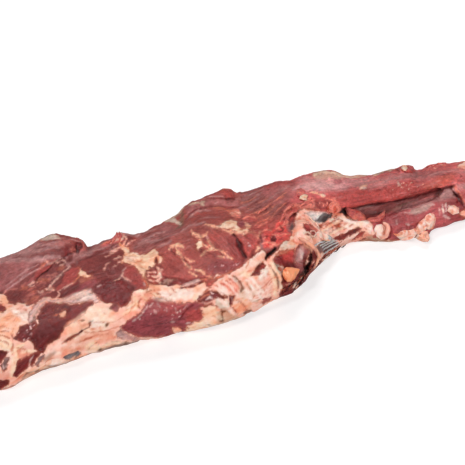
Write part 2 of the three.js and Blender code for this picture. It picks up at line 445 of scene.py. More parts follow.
count = len(place)
broad = patches(place, 0.035, 11) + 0.5 * patches(place, 0.012, 12)
flesh_hidden = mixed(FLESH["brown"], FLESH["purple"], broad)
flesh_hidden += mixed((0, 0, 0), colour_of("maroon") - colour_of("brown"), -0.7 * broad)
silver = ramp(0.15, 0.6, patches(place * (0.35, 1, 1), 0.013, 16)) * ramp(0.012, 0.03, place[:, 2])
flesh_hidden += silver[:, None] * (colour_of("mauve") - flesh_hidden) * 0.7
low_side = 1 - ramp(0.004, 0.018, place[:, 2])
stripes = patches(place * (0.3, 1, 1), 0.011, 13) + 0.45 * patches(place, 0.005, 14)
fat_hidden = (stripes - 0.60 + 0.55 * low_side) * 4.0
tallow_hidden = mixed(FAT["rose"], FAT["cream"], patches(place, 0.02, 15) + 0.4)
tallow_hidden += mixed((0, 0, 0), colour_of("pink") - colour_of("rose"), patches(place, 0.012, 17))
flesh = flesh_hidden.copy()
tallow = tallow_hidden.copy()
fatness = np.full(count, -6.0)
lift = np.zeros(count)
wet = np.full(count, 0.35)

print("hidden skin with fat:", round(float((fat_hidden > 0).mean()), 2))


# %% Ways to lay a tissue
def near(outline, margin=8):
    """The vertices whose pixels lie close to some points of the picture."""
    low = np.min(outline, 0) - margin
    high = np.max(outline, 0) + margin
    return np.flatnonzero(((wavy > low) & (wavy < high)).all(1) & (seen > 0))


def lay(tissue, at, distance, rise, soft, strength):
    """Colours the vertices of one patch or streak, and raises them."""
    if tissue in FAT:
        cover = strength * ramp(-2.5, 0.5, distance)[:, None]
        tallow[at] += cover * (colour_of(tissue) - tallow[at])
        fatness[at] = np.maximum(fatness[at], distance / PIXELS_PER_MM)
    else:
        cover = strength * ramp(-soft, soft, distance)[:, None]
        flesh[at] += cover * (colour_of(tissue) - flesh[at])
        if strength > 0.6:
            fatness[at] = np.minimum(fatness[at], -distance / PIXELS_PER_MM)
    lift[at] += rise * ramp(-1.0, 1.6, distance)


def patch(tissue, outline, rise=0.0, soft=1.2, strength=1.0):
    """An area of one tissue inside an outline."""
    at = near(outline)
    lay(tissue, at, distance_in(wavy[at], outline), rise, soft, strength)


def streak(tissue, width, line, rise=0.0, soft=0.8, strength=1.0):
    """A line of one tissue."""
    at = near(line, 5 + width)
    lay(tissue, at, distance_along(calm[at], line, width, swelling[at]), rise, soft, strength)


def streaks(tissue, width, lines, rise=0.0, soft=0.8, strength=1.0):
    """Several lines of one tissue."""
    for line in lines:
        streak(tissue, width, line, rise, soft, strength)


def veins(tissue, width, lines, rise=-0.4, strength=0.6):
    """Soft lines that colour flesh and fat alike."""
    goal = colour_of(tissue)
    for line in lines:
        at = near(line, 5 + width)
        distance = distance_along(calm[at], line, width, swelling[at]) + frayed[at]
        cover = strength * ramp(-0.9, 0.8, distance)[:, None]
        flesh[at] += cover * (goal - flesh[at])
        tallow[at] += cover * (goal - tallow[at])
        lift[at] += rise * ramp(-1.4, 1.0, distance)


def moisten(outline, amount, soft=4.0):
    """Sets how wet the skin is inside an outline, from 0 for dry to 1 for wet."""
    at = near(outline)
    wet[at] += ramp(-soft, soft, distance_in(wavy[at], outline)) * (amount - wet[at])


def tint(tissue, outline, strength, soft=2.0):
    """Shifts the colours inside an outline, of flesh and fat alike, without moving their edges."""
    at = near(outline)
    cover = strength * ramp(-soft, soft, distance_in(wavy[at], outline))[:, None]
    goal = colour_of(tissue)
    flesh[at] += cover * (goal - flesh[at])
    tallow[at] += cover * (goal - tallow[at])


def glints_and_specks(tissue, outline, share, size=0.0017, rise=0.25, seed=40):
    """Small spots scattered inside an outline, raised a little. The pale ones stand mostly for painted glints
    on wet tissue, the dark ones are spots of tissue.
    """
    at = near(outline)
    inside = ramp(-1, 2, distance_in(wavy[at], outline))
    drops = patches(place[at], size, seed) + 0.5 * patches(place[at], size * 0.6, seed + 1)
    cover = ramp(0.95 - share, 1.15 - share, drops) * inside
    goal = colour_of(tissue)
    flesh[at] += cover[:, None] * (goal - flesh[at])
    lift[at] += rise * cover


def tell(what):
    """Prints how much of the seen skin is fat once a step is done."""
    fat_share = float((fatness[seen > 0.5] > 0).mean())
    print(what + ": fat on", round(fat_share, 3), "of the seen skin")


# %% [markdown]
# The broad tissues come first, from the head on the left to the tail on the right, and smaller marks are
# laid over them. Marks near the left and right edges run past the picture, so that the pattern
# doesn't stop there.

# %% The broad muscles
HEAD_MUSCLE = [(-20, 320), (-20, 250), (60, 230), (150, 225), (160, 262), (150, 285), (96, 305), (40, 320)]
SLAB_TOP = [(88, 249), (122, 240), (128, 256), (130, 270), (118, 282), (92, 292), (64, 300), (80, 266)]
MIDDLE_MUSCLE = [
    (126, 232), (182, 205), (232, 185), (290, 176), (300, 200), (284, 220), (262, 236), (258, 258),
    (236, 270), (206, 284), (180, 286), (146, 285), (160, 262), (128, 254),
]
TAIL_MUSCLE = [
    (262, 190), (285, 172), (330, 160), (390, 156), (480, 146), (480, 200), (452, 186), (430, 193),
    (400, 201), (372, 206), (342, 208), (300, 204), (270, 206),
]
SIDE_STRAND = [
    (366, 224), (376, 214), (400, 206), (430, 196), (480, 188), (480, 226), (452, 228), (430, 236),
    (400, 246), (366, 246),
]
FLANK_FAT = [
    (-20, 410), (-20, 300), (8, 303), (28, 306), (44, 298), (64, 299), (90, 289), (104, 304), (128, 306),
    (133, 290), (150, 284), (205, 284), (236, 271), (252, 258), (262, 250), (266, 256), (276, 264),
    (282, 282), (282, 300), (230, 326), (180, 342), (120, 352), (60, 372), (10, 400),
]
CROSSING_FAT = [
    (268, 260), (276, 252), (288, 242), (292, 230), (296, 214), (306, 208), (332, 212), (350, 217),
    (372, 222), (376, 234), (352, 244), (334, 256), (318, 274), (300, 290), (282, 302), (276, 280),
]
patch("brown", HEAD_MUSCLE)
patch("brown", SLAB_TOP, 0.4)
patch("warm", MIDDLE_MUSCLE)
patch("rosy", TAIL_MUSCLE)
patch("rosy", SIDE_STRAND)
tint("plum", SIDE_STRAND, 0.45, 3)
patch("rose", FLANK_FAT, 0.2)
patch("rose", CROSSING_FAT, 0.3)
for outline in (FLANK_FAT, CROSSING_FAT):
    moisten(outline, 0.6)
for outline in (HEAD_MUSCLE, SLAB_TOP):
    moisten(outline, 0.1)
tell("broad muscles")

# %% [markdown]
# The head is two layers. Behind lies a smooth side muscle under silverskin, with its blunt end free.
# In front lies a slab of brown muscle whose right end is frayed and laced with fat. A dark split
# parts the two.

# %% The side muscle of the head
SMOOTH_FLANK = [(-20, 296), (-20, 258), (8, 260), (24, 260), (34, 262), (30, 270), (20, 281), (8, 291)]
SHEEN_BAND = [
    (-20, 268), (-20, 259), (4, 258), (14, 257), (30, 257), (46, 255), (60, 256), (62, 259), (48, 261),
    (30, 262), (10, 262), (0, 264),
]
BACK_SHEEN = [
    (-20, 262), (-20, 250), (14, 252), (28, 245), (44, 238), (60, 239), (70, 242), (60, 248), (44, 251),
    (28, 256), (8, 259),
]
DRY_SHOULDER = [(38, 240), (56, 234), (72, 236), (84, 239), (76, 244), (60, 247), (44, 244)]
RED_SPLIT_SIDE = [
    (36, 274), (40, 267), (46, 260), (57, 258), (54, 264), (47, 271), (40, 275), (32, 281), (26, 284),
]
DARK_HOLLOW = [(74, 244), (77, 241), (81, 241), (82, 246), (80, 251), (79, 254), (76, 253), (75, 248)]
END_RIM = [(80, 238), (84, 240), (88, 245), (87, 250), (83, 252), (80, 252), (82, 246), (81, 241)]
END_FOLD = [(61, 249), (67, 244), (73, 245), (75, 251), (70, 255), (66, 258), (62, 256)]
SPLIT = [(36, 283), (38, 278), (42, 274), (47, 271), (51, 267), (54, 263), (59, 260)]
SPLIT_END = [(59, 260), (64, 258), (68, 255), (73, 253), (78, 253)]
CREAM_CAP = [
    (38, 240), (42, 237), (46, 236), (50, 234), (54, 233), (58, 236), (61, 239), (54, 239), (46, 240),
]
FILM_EDGES = [
    [(6, 286), (18, 276), (28, 269), (38, 264)], [(3, 294), (14, 284), (26, 274)],
    [(18, 282), (28, 274), (40, 268), (48, 264)], [(28, 262), (40, 259), (52, 257), (62, 258)],
]
PALE_FIBRES = [
    [(40, 246), (52, 244), (60, 242)], [(48, 243), (62, 240)], [(20, 254), (34, 250), (44, 248)],
    [(8, 256), (20, 253), (30, 249)], [(34, 252), (50, 249), (60, 248)], [(62, 238), (74, 240), (82, 241)],
]
DARK_FIBRES = [
    [(50, 249), (55, 249), (58, 250)], [(64, 254), (68, 252)], [(36, 248), (46, 246)],
    [(12, 258), (24, 256)], [(40, 242), (50, 240), (62, 240)],
]
FLANK_SHADE = [(-20, 300), (-20, 270), (14, 267), (22, 272), (8, 292)]
HOLLOW_SLIT = [(76, 246), (77, 250), (78, 253)]
patch("purple", SMOOTH_FLANK, 0.3, soft=3, strength=0.85)
tint("maroon", FLANK_SHADE, 0.2, 4)
tint("mauve", BACK_SHEEN, 0.75, 3)
# A band of painted sheen along the silverskin of the lobe's top.
tint("mauve", SHEEN_BAND, 0.9, 1.5)
patch("warm", DRY_SHOULDER, strength=0.5, soft=3)
patch("red", RED_SPLIT_SIDE, 0.2, strength=0.75, soft=2)
patch("maroon", END_FOLD, 0.2, strength=0.5, soft=2)
patch("maroon", DARK_HOLLOW, -1.8)
patch("warm", END_RIM, 0.8)
# The black in the slit at the end and in the split is painted shade.
streak("black", 2.2, HOLLOW_SLIT, -1.0)
streak("maroon", 2.2, SPLIT, -1.6, strength=0.8)
streak("black", 1.2, SPLIT[2:5], -0.8, strength=0.8)
streak("maroon", 2.4, SPLIT_END, -1.4)
tint("bone", CREAM_CAP, 0.75, 1.2)
streaks("mauve", 1.3, FILM_EDGES, 0.25, strength=0.95)
streaks("mauve", 1.2, PALE_FIBRES, 0.2, strength=0.6)
streaks("maroon", 1.3, DARK_FIBRES, -0.3, strength=0.6)
tell("side muscle of the head")

# %% Flecks of fat on the head
CREAM_FLECKS = [
    [(28, 285), (32, 283), (37, 282)], [(29, 287), (34, 286)], [(37, 291), (40, 293), (43, 291)],
    [(45, 261), (49, 263), (53, 263)], [(52, 262), (56, 261), (60, 259)], [(57, 263), (62, 260), (66, 261)],
    [(60, 265), (66, 263)], [(22, 306), (26, 304), (29, 307)], [(66, 262), (68, 266), (71, 267)],
]
PEACH_FLECKS = [
    [(21, 287), (25, 283)], [(26, 291), (31, 289), (36, 287)], [(38, 285), (42, 282), (46, 283)],
    [(40, 289), (44, 286), (46, 288)], [(47, 275), (52, 275), (57, 273)], [(46, 279), (52, 278), (57, 277)],
    [(70, 250), (73, 248), (76, 250)], [(72, 252), (75, 254)], [(42, 294), (48, 292), (53, 290)],
    [(28, 297), (33, 294), (38, 293)], [(24, 301), (29, 299)], [(30, 303), (36, 299), (40, 295)],
    [(2, 294), (10, 290), (16, 289)],
]
RUST_FLECKS = [
    [(24, 298), (30, 293), (36, 291)], [(26, 304), (33, 299), (39, 296)], [(36, 283), (42, 279), (48, 280)],
    [(44, 290), (50, 288), (56, 289)], [(40, 268), (45, 263)], [(20, 290), (28, 287)],
    [(58, 270), (64, 266)],
]
SINEW_STRIP = [(47, 289), (50, 286), (54, 281), (59, 276), (64, 271), (68, 268)]
STRIP_FOOT = [(46, 288), (50, 289), (54, 290)]
WEDGE = [
    (56, 289), (62, 280), (66, 272), (72, 268), (80, 267), (80, 272), (77, 277), (71, 283), (63, 288),
    (58, 291),
]
WEDGE_RIM = [(73, 283), (77, 278), (80, 273), (80, 269)]
WEDGE_SHADE = [
    (59, 300), (62, 293), (70, 288), (76, 283), (80, 277), (80, 282), (76, 288), (70, 293), (64, 297),
]
WEDGE_FAT = [(56, 299), (59, 295), (58, 291), (62, 289), (67, 286), (72, 283)]
LOW_BROWN = [(5, 297), (10, 292), (22, 290), (32, 291), (26, 298), (20, 304), (9, 302)]
EDGE_FAT = [(-20, 306), (-20, 292), (3, 294), (7, 299), (9, 304), (4, 304), (0, 302)]
EDGE_FLESH = [(-20, 318), (-20, 304), (5, 305), (7, 309), (3, 315)]
veins("rust", 3.0, RUST_FLECKS, 0.2, 0.6)
veins("rose", 1.4, CREAM_FLECKS, 0.3, 0.5)
veins("salmon", 1.5, PEACH_FLECKS, 0.3, 0.4)
veins("rose", 1.7, [SINEW_STRIP, STRIP_FOOT], 0.5, 0.7)
patch("red", WEDGE, 0.5, strength=0.85)
streak("rust", 2.8, WEDGE_RIM, 0.5)
patch("brown", WEDGE_SHADE, -1.0)
streak("maroon", 1.4, WEDGE_SHADE[:5], -0.5)
veins("rose", 1.4, [WEDGE_FAT], 0.5, 0.8)
patch("brown", LOW_BROWN, 0.2)
patch("peach", EDGE_FAT, 0.3)
patch("maroon", EDGE_FLESH, -0.3)
tell("flecks of fat on the head")

# %% The slab of the head
SLAB_SHEEN = [
    (66, 266), (66, 258), (72, 254), (80, 251), (90, 247), (110, 239), (122, 241), (114, 246), (96, 252),
    (88, 256), (78, 260), (70, 266),
]
SLAB_DIP = [(67, 261), (69, 256), (73, 256), (73, 261), (70, 263)]
SLAB_FAT_SPOT = [(79, 268), (81, 271), (86, 273), (91, 276), (88, 278), (82, 277), (79, 274)]
SPOT_BLUSH = [(78, 278), (84, 278), (92, 277), (98, 279), (90, 283), (80, 284)]
LOWER_STRIP = [
    (68, 297), (76, 290), (80, 283), (90, 280), (100, 276), (98, 282), (92, 288), (84, 291), (74, 296),
]
SLAB_STROKES = [
    [(88, 254), (98, 250), (108, 246)], [(92, 250), (104, 245), (114, 241)],
    [(76, 258), (86, 253), (94, 250)], [(98, 255), (110, 250), (118, 245)], [(80, 256), (92, 255)],
]
SLAB_DARKS = [
    [(86, 258), (98, 254), (108, 250)], [(84, 251), (94, 247)], [(100, 262), (112, 258)],
    [(92, 268), (104, 264)], [(88, 274), (96, 270)],
]
SLAB_FINGERS = [
    [(106, 257), (112, 253), (119, 248), (126, 247)], [(110, 252), (118, 248), (124, 244)],
    [(114, 259), (119, 257), (125, 258)], [(106, 265), (111, 262)], [(103, 271), (106, 267)],
    [(118, 263), (124, 260)], [(113, 267), (119, 264)],
]
SLAB_EDGE = [(119, 243), (124, 246), (127, 250), (128, 255), (126, 260), (128, 266)]
TORN_BUMP = [
    (99, 247), (106, 242), (112, 239), (114, 235), (117, 231), (120, 232), (122, 238), (124, 241),
    (120, 243), (111, 245), (104, 247),
]
TORN_TIPS = [
    [(114, 234), (117, 231), (121, 233)], [(120, 241), (124, 235), (126, 238), (124, 244)],
    [(111, 243), (116, 240), (122, 239)], [(126, 245), (130, 242), (135, 240)],
]
BACK_LOBE = [(125, 236), (132, 237), (134, 241), (127, 244)]
BACK_FILM = [(118, 235), (127, 231), (134, 233), (142, 234), (136, 237), (128, 236)]
tint("mauve", SLAB_SHEEN, 0.55, 2)
patch("brown", SLAB_DIP, -0.5)
patch("cream", SLAB_FAT_SPOT, 0.3)
patch("rust", SPOT_BLUSH, strength=0.6, soft=2)
tint("plum", LOWER_STRIP, 0.7, 2)
streaks("mauve", 1.3, SLAB_STROKES, 0.2, strength=0.7)
streaks("maroon", 1.4, SLAB_DARKS, -0.3, strength=0.5)
veins("salmon", 2.4, SLAB_FINGERS, 0.1, 0.25)
veins("rose", 1.0, SLAB_FINGERS, 0.2, 0.6)
patch("rosy", TORN_BUMP, 1.0, strength=0.85)
patch("brown", BACK_LOBE, 0.5)
tint("mauve", BACK_FILM, 0.8, 1)
veins("salmon", 2.4, TORN_TIPS, 0.4, 0.7)
veins("rose", 1.2, TORN_TIPS, 0.2, 0.8)
streak("peach", 2.2, SLAB_EDGE, 0.3)
tell("slab of the head")

# %% The patch of fat beside the slab
CREAM_PATCH = [
    (125, 248), (129, 252), (134, 253), (140, 254), (146, 254), (151, 251), (154, 249), (158, 253),
    (159, 257), (156, 260), (156, 264), (153, 267), (149, 270), (146, 273), (145, 277), (147, 281),
    (150, 285), (146, 286), (142, 280), (140, 274), (137, 270), (134, 266), (130, 266), (126, 264),
    (125, 259), (127, 254),
]
PATCH_FRINGE = [
    (119, 243), (124, 245), (129, 248), (129, 254), (135, 262), (141, 268), (147, 283), (140, 277),
    (132, 268), (126, 267), (122, 263), (124, 255),
]
PATCH_BLUSH = [
    (126, 253), (134, 255), (138, 260), (140, 266), (144, 272), (146, 280), (142, 280), (138, 271),
    (134, 266), (127, 264),
]
SMALL_NUB = [(157, 257), (161, 256), (163, 259), (161, 263), (158, 262)]
NUB_SHADE = [(155, 259), (157, 263), (158, 267), (161, 265), (163, 261)]
CRINKLE = [
    (146, 273), (151, 269), (157, 268), (160, 266), (162, 270), (165, 274), (164, 279), (160, 282),
    (155, 284), (149, 282), (146, 279),
]
CRINKLE_FOLDS = [
    [(148, 276), (148, 272), (153, 272), (157, 273)], [(149, 280), (153, 281), (158, 280), (161, 278)],
    [(158, 268), (159, 273), (157, 277)], [(152, 276), (156, 277)], [(161, 270), (160, 275), (163, 278)],
]
CRINKLE_SHADE = [
    (145, 272), (145, 279), (149, 284), (157, 285), (170, 286), (176, 281), (164, 276), (158, 268),
    (150, 266),
]
CRINKLE_RIM = [(145, 272), (145, 279), (149, 284), (157, 285), (166, 283)]
LOW_STRANDS = [[(163, 280), (170, 280), (177, 279)], [(160, 283), (168, 283)]]
patch("peach", PATCH_FRINGE, 0.3)
patch("cream", CREAM_PATCH, 0.5)
tint("peach", PATCH_BLUSH, 0.5, 2)
patch("brown", CRINKLE_SHADE, -0.5, strength=0.7)
patch("red", CRINKLE, 0.3, strength=0.7)
veins("rust", 3.0, CRINKLE_FOLDS, 0.2, 0.5)
veins("rose", 1.7, CRINKLE_FOLDS, 0.6, 0.85)
veins("brown", 1.8, [CRINKLE_RIM], -0.7, 0.5)
streak("maroon", 1.2, NUB_SHADE, -0.3, strength=0.6)
patch("peach", SMALL_NUB, 0.9)
veins("cream", 1.8, LOW_STRANDS, 0.3, 0.9)
tell("patch of fat beside the slab")

# %% The front face of the slab
FRONT_FACE = [
    (91, 291), (95, 287), (99, 284), (103, 281), (108, 279), (113, 280), (118, 277), (121, 279), (124, 284),
    (130, 284), (134, 288), (134, 292), (131, 297), (130, 303), (127, 306), (122, 308), (119, 306),
    (116, 303), (111, 303), (106, 303), (101, 300), (97, 296), (93, 294),
]
FACE_LIGHT = [(118, 280), (124, 284), (131, 286), (133, 292), (129, 300), (124, 296), (120, 288)]
RED_BUMP = [
    (122, 269), (128, 266), (134, 266), (138, 270), (142, 276), (147, 282), (148, 286), (146, 288),
    (140, 289), (136, 286), (130, 282), (126, 278), (123, 275),
]
BUMP_RIM = [(142, 280), (146, 283), (148, 286), (146, 289), (141, 289)]
FACE_SEAMS = [[(113, 281), (118, 279), (122, 275), (124, 271)], [(122, 276), (126, 279), (131, 281)]]
BUMP_GLINTS = [[(122, 271), (126, 268)], [(143, 283), (145, 286)], [(97, 287), (101, 285)]]
FACE_HOLLOW = [(108, 309), (111, 305), (116, 303), (120, 306), (117, 311), (112, 311)]
HOLLOW_HEART = [(110, 309), (114, 304), (119, 307), (115, 311)]
FACE_DARKS = [
    [(104, 286), (112, 290), (118, 298)], [(100, 292), (108, 298)], [(122, 288), (124, 296), (122, 304)],
]
FACE_ROOT = [(96, 278), (112, 268), (124, 262), (136, 268), (146, 284), (136, 292), (110, 292), (98, 286)]
patch("brown", FACE_ROOT)
patch("red", RED_BUMP, 0.5, strength=0.75, soft=2.5)
patch("maroon", FRONT_FACE, 0.7)
tint("black", FRONT_FACE, 0.16)
patch("red", FACE_LIGHT, strength=0.25, soft=3)
streak("rust", 2.0, BUMP_RIM, 0.3)
streaks("maroon", 1.6, FACE_DARKS, -0.4, strength=0.6)
veins("rose", 1.1, FACE_SEAMS, 0.1, 0.6)
streaks("lilac", 1.2, BUMP_GLINTS, 0.3, strength=0.8)
moisten(FRONT_FACE, 0.8)
patch("mauve", FACE_HOLLOW, -0.8, strength=0.8)
tint("plum", HOLLOW_HEART, 0.8, 1.5)
tell("front face of the slab")

# %% [markdown]
# The flank is where the cut was pulled from the carcass. Dark muscles lie between thick, wet fat, a
# pale membrane runs along the top, and greyish silverskin shows along the foot.

# %% The fat at the head's front
PEACH_FAT = [
    (-20, 338), (-20, 312), (4, 312), (8, 307), (12, 308), (15, 314), (20, 318), (25, 321), (22, 325),
    (19, 328), (16, 331), (13, 335), (8, 338),
]
WHITE_LOBE = [
    (12, 309), (15, 304), (20, 303), (26, 305), (31, 309), (30, 315), (27, 321), (24, 321), (20, 317),
    (15, 313),
]
PINK_HEART = [(19, 308), (25, 307), (29, 311), (26, 316), (21, 313)]
CREAM_LOBE = [(-20, 352), (-20, 339), (5, 338), (10, 341), (12, 345), (10, 350), (5, 351)]
EDGE_PINK = [(-20, 380), (-20, 371), (5, 370), (9, 372), (9, 376), (4, 378)]
EDGE_CREASES = [
    [(-6, 337), (3, 336), (10, 339)], [(-4, 328), (4, 326)], [(12, 335), (13, 345), (12, 354)],
    [(0, 341), (6, 342), (9, 345)], [(0, 332), (8, 331)],
]
MEMBRANE = [
    (28, 316), (30, 311), (34, 306), (39, 301), (44, 297), (48, 297), (53, 300), (64, 299), (76, 293),
    (86, 290), (91, 289), (93, 293), (97, 297), (100, 301), (97, 304), (90, 301), (80, 302), (66, 303),
    (52, 303), (46, 302), (42, 306), (39, 312), (36, 318), (33, 323), (29, 324), (27, 320),
]
MEMBRANE_PALE = [(72, 296), (84, 290), (91, 289), (96, 297), (90, 300), (78, 301)]
MEMBRANE_LINES = [
    [(36, 310), (40, 304), (46, 300)], [(58, 302), (72, 299), (84, 294)], [(34, 316), (38, 309)],
]
SHADOW_LINES = [[(30, 325), (34, 318), (38, 310), (43, 304)], [(54, 304), (70, 303), (86, 302)]]
PINK_STRIP = [(19, 356), (21, 350), (25, 346), (31, 349), (37, 351), (31, 353), (25, 356), (20, 358)]
CREAM_STRIPS = [
    [(12, 352), (17, 348), (23, 345)], [(11, 376), (13, 366), (13, 358)], [(16, 352), (17, 358), (15, 365)],
    [(22, 353), (28, 351), (34, 352)],
]
patch("peach", PEACH_FAT, 0.6)
patch("white", WHITE_LOBE, 0.6)
patch("pink", PINK_HEART, 0.1, strength=0.7)
patch("cream", CREAM_LOBE, 0.7)
patch("pink", EDGE_PINK, 0.2)
veins("rust", 1.5, EDGE_CREASES, -0.5, 0.8)
patch("lilac", MEMBRANE, 0.3)
tint("white", MEMBRANE_PALE, 0.45)
streaks("bone", 1.4, MEMBRANE_LINES, 0.3, strength=0.6)
veins("olive", 1.4, SHADOW_LINES, -0.5, 0.7)
patch("pink", PINK_STRIP, 0.4)
streaks("cream", 2.2, CREAM_STRIPS, 0.4)
tell("fat at the head's front")

# %% The dark muscles of the flank
LONG_DARK = [
    (24, 338), (28, 334), (33, 329), (38, 323), (37, 317), (39, 311), (42, 306), (46, 303), (50, 302),
    (56, 304), (64, 304), (74, 303), (84, 302), (94, 301), (92, 306), (88, 308), (86, 312), (81, 315),
    (75, 319), (69, 323), (65, 327), (62, 333), (58, 338), (52, 342), (47, 345), (46, 350), (43, 354),
    (38, 352), (34, 348), (30, 343), (27, 341),
]
DARK_UPPER = [(40, 320), (42, 308), (50, 303), (62, 305), (64, 316), (58, 324), (48, 324)]
DARK_RIGHT = [(66, 318), (72, 306), (86, 303), (92, 303), (86, 311), (74, 318), (66, 322)]
DARK_RIM = [(64, 327), (70, 322), (78, 318), (86, 312)]
DARK_FLECK = [(61, 316), (62, 312), (66, 311), (66, 314), (63, 317)]
SPECKLED_BIT = [
    (14, 338), (17, 331), (21, 326), (27, 324), (34, 320), (38, 324), (34, 333), (28, 341), (23, 344),
    (18, 342),
]
LOW_DARK = [
    (13, 376), (15, 368), (17, 362), (21, 359), (25, 356), (30, 354), (34, 352), (42, 352), (39, 356),
    (36, 358), (35, 363), (32, 366), (28, 365), (24, 370), (20, 375), (17, 378),
]
LOW_DARK_GAP = [(29, 366), (30, 360), (33, 355)]
EDGE_DARKS = [
    [(-20, 364), (-20, 351), (6, 350), (9, 352), (6, 356), (3, 360), (0, 363)],
    [(-20, 394), (-20, 380), (6, 379), (11, 380), (8, 384), (4, 388), (0, 391)],
]
GREY_SINEW = [(0, 366), (4, 360), (7, 356), (10, 357), (8, 362), (6, 368), (2, 371)]
DARK_TIP = [(36, 346), (46, 344), (47, 350), (42, 355), (37, 351)]
patch("maroon", LONG_DARK, -0.7)
patch("brown", DARK_UPPER, 0.2, strength=0.4, soft=3)
patch("red", DARK_RIGHT, 0.2, strength=0.3, soft=3)
streak("rust", 2.8, DARK_RIM, 0.3)
patch("peach", DARK_FLECK, 0.3)
patch("maroon", SPECKLED_BIT, -0.5)
patch("maroon", LOW_DARK, -0.7)
streak("lilac", 1.3, LOW_DARK_GAP, 0.2, strength=0.7)
for outline in EDGE_DARKS:
    patch("maroon", outline, -0.5)
patch("ash", GREY_SINEW, 0.1, strength=0.8)
# The lilac and pale pink specks on the sinew and the speckled bit are painted glints.
glints_and_specks("lilac", GREY_SINEW, 0.4, seed=42)
glints_and_specks("satin", SPECKLED_BIT, 0.5, seed=44)
glints_and_specks("lilac", SPECKLED_BIT, 0.4, 0.0012, seed=41)
glints_and_specks("rust", DARK_UPPER, 0.35, 0.0022, seed=43)
tint("black", LONG_DARK, 0.14)
moisten(LONG_DARK, 0.7)
# Painted glints on the dark tip.
glints_and_specks("lilac", DARK_TIP, 0.36, seed=45)
tell("dark muscles of the flank")

# %% The foot of the flank
PINK_BAND = [
    (60, 352), (63, 345), (70, 341), (78, 337), (90, 333), (104, 331), (118, 331), (116, 338), (104, 341),
    (92, 345), (80, 349), (68, 354),
]
PINK_LINES = [
    [(64, 350), (78, 343), (92, 337)], [(70, 351), (86, 345), (100, 340)],
    [(84, 340), (98, 335), (112, 333)],
]
RED_LINES = [
    [(66, 346), (78, 341), (88, 336)], [(96, 339), (104, 335), (112, 335)],
    [(101, 314), (106, 314), (110, 316)],
]
DARK_CRACK = [(62, 343), (66, 340), (70, 338), (76, 334), (81, 331)]
CRACK_END = [(78, 334), (80, 331), (82, 330)]
OLIVE_HOLES = [
    [(89, 327), (90, 322), (93, 320)], [(84, 329), (88, 327)], [(105, 326), (108, 323)],
    [(81, 321), (84, 320)],
]
CREAMY_FAT = [(66, 328), (78, 317), (92, 306), (110, 309), (116, 318), (104, 330), (84, 334), (68, 338)]
WHITE_BUMPS = [(90, 320), (96, 317), (101, 322), (98, 328), (92, 328), (89, 325)]
FOOT_STRIP = [
    (20, 392), (30, 374), (44, 367), (60, 362), (76, 357), (96, 352), (120, 344), (140, 340), (140, 350),
    (90, 366), (40, 384),
]
GREY_FOOT = [(60, 362), (90, 352), (120, 343), (150, 337), (150, 344), (110, 356), (70, 370)]
FOOT_CREAM = [(84, 351), (90, 344), (98, 343), (100, 348), (92, 353)]
patch("tallow", FOOT_STRIP, -0.2)
tint("bone", FOOT_STRIP, 0.5)
tint("ash", GREY_FOOT, 0.4, 2)
tint("cream", FOOT_CREAM, 0.8, 1)
patch("pink", PINK_BAND, 0.3)
tint("peach", PINK_BAND, 0.6)
tint("pink", PINK_BAND, 0.3)
veins("rust", 1.2, PINK_LINES, -0.3, 0.3)
streaks("red", 1.3, RED_LINES, -0.2, strength=0.55)
tint("cream", CREAMY_FAT, 0.9, 3)
# The white bumps are white fat with painted highlights on them.
patch("white", WHITE_BUMPS, 0.5)
tint("white", CREAMY_FAT, 0.35, 3)
veins("rust", 3.2, [DARK_CRACK], -0.6, 0.5)
veins("maroon", 1.4, [DARK_CRACK, CRACK_END], -0.9, 0.9)
veins("olive", 1.6, OLIVE_HOLES, -0.7, 0.9)
tell("foot of the flank")

# %% Films and creases of the foot
GREY_FLAKE = [(35, 365), (38, 358), (44, 354), (46, 356), (42, 361), (38, 366)]
OLIVE_PATCH = [(43, 361), (47, 355), (53, 350), (56, 352), (51, 358), (46, 362)]
CREAM_FLAKE = [(51, 364), (54, 357), (58, 352), (60, 353), (59, 359), (56, 364)]
STEEL_PATCH = [(64, 357), (70, 354), (76, 351), (79, 352), (78, 355), (72, 357), (66, 360)]
FOOT_PEACH = [
    [(20, 377), (28, 371), (38, 368), (50, 362)], [(26, 379), (36, 373), (48, 369)],
    [(62, 361), (76, 356), (88, 353)],
]
FOOT_FOLDS = [
    [(87, 350), (91, 345), (97, 343)], [(92, 352), (97, 348), (99, 344)],
    [(100, 349), (108, 345), (118, 344)], [(104, 351), (114, 347), (126, 344)],
    [(22, 378), (30, 373), (40, 371)], [(36, 376), (46, 371), (58, 366)],
]
FOOT_PALE = [
    [(86, 347), (90, 344), (95, 343)], [(94, 350), (99, 346)], [(102, 347), (110, 343), (120, 342)],
]
FILM_LINES = [[(118, 331), (126, 336), (136, 339)], [(120, 334), (130, 338), (142, 340)]]
CONTACT_SHADE_LINE = [
    (0, 390), (16, 385), (32, 375), (60, 364), (92, 352), (126, 343), (160, 337), (192, 329), (222, 323),
]
HATCH = [
    [(102, 346), (110, 346)], [(106, 343), (116, 344)], [(112, 341), (122, 342)], [(118, 347), (128, 342)],
    [(98, 350), (104, 346)],
]
BELLY_FILM = [
    (116, 333), (120, 328), (124, 331), (130, 335), (138, 337), (146, 338), (136, 340), (124, 339),
    (117, 337),
]
patch("ash", GREY_FLAKE, 0.1, strength=0.9)
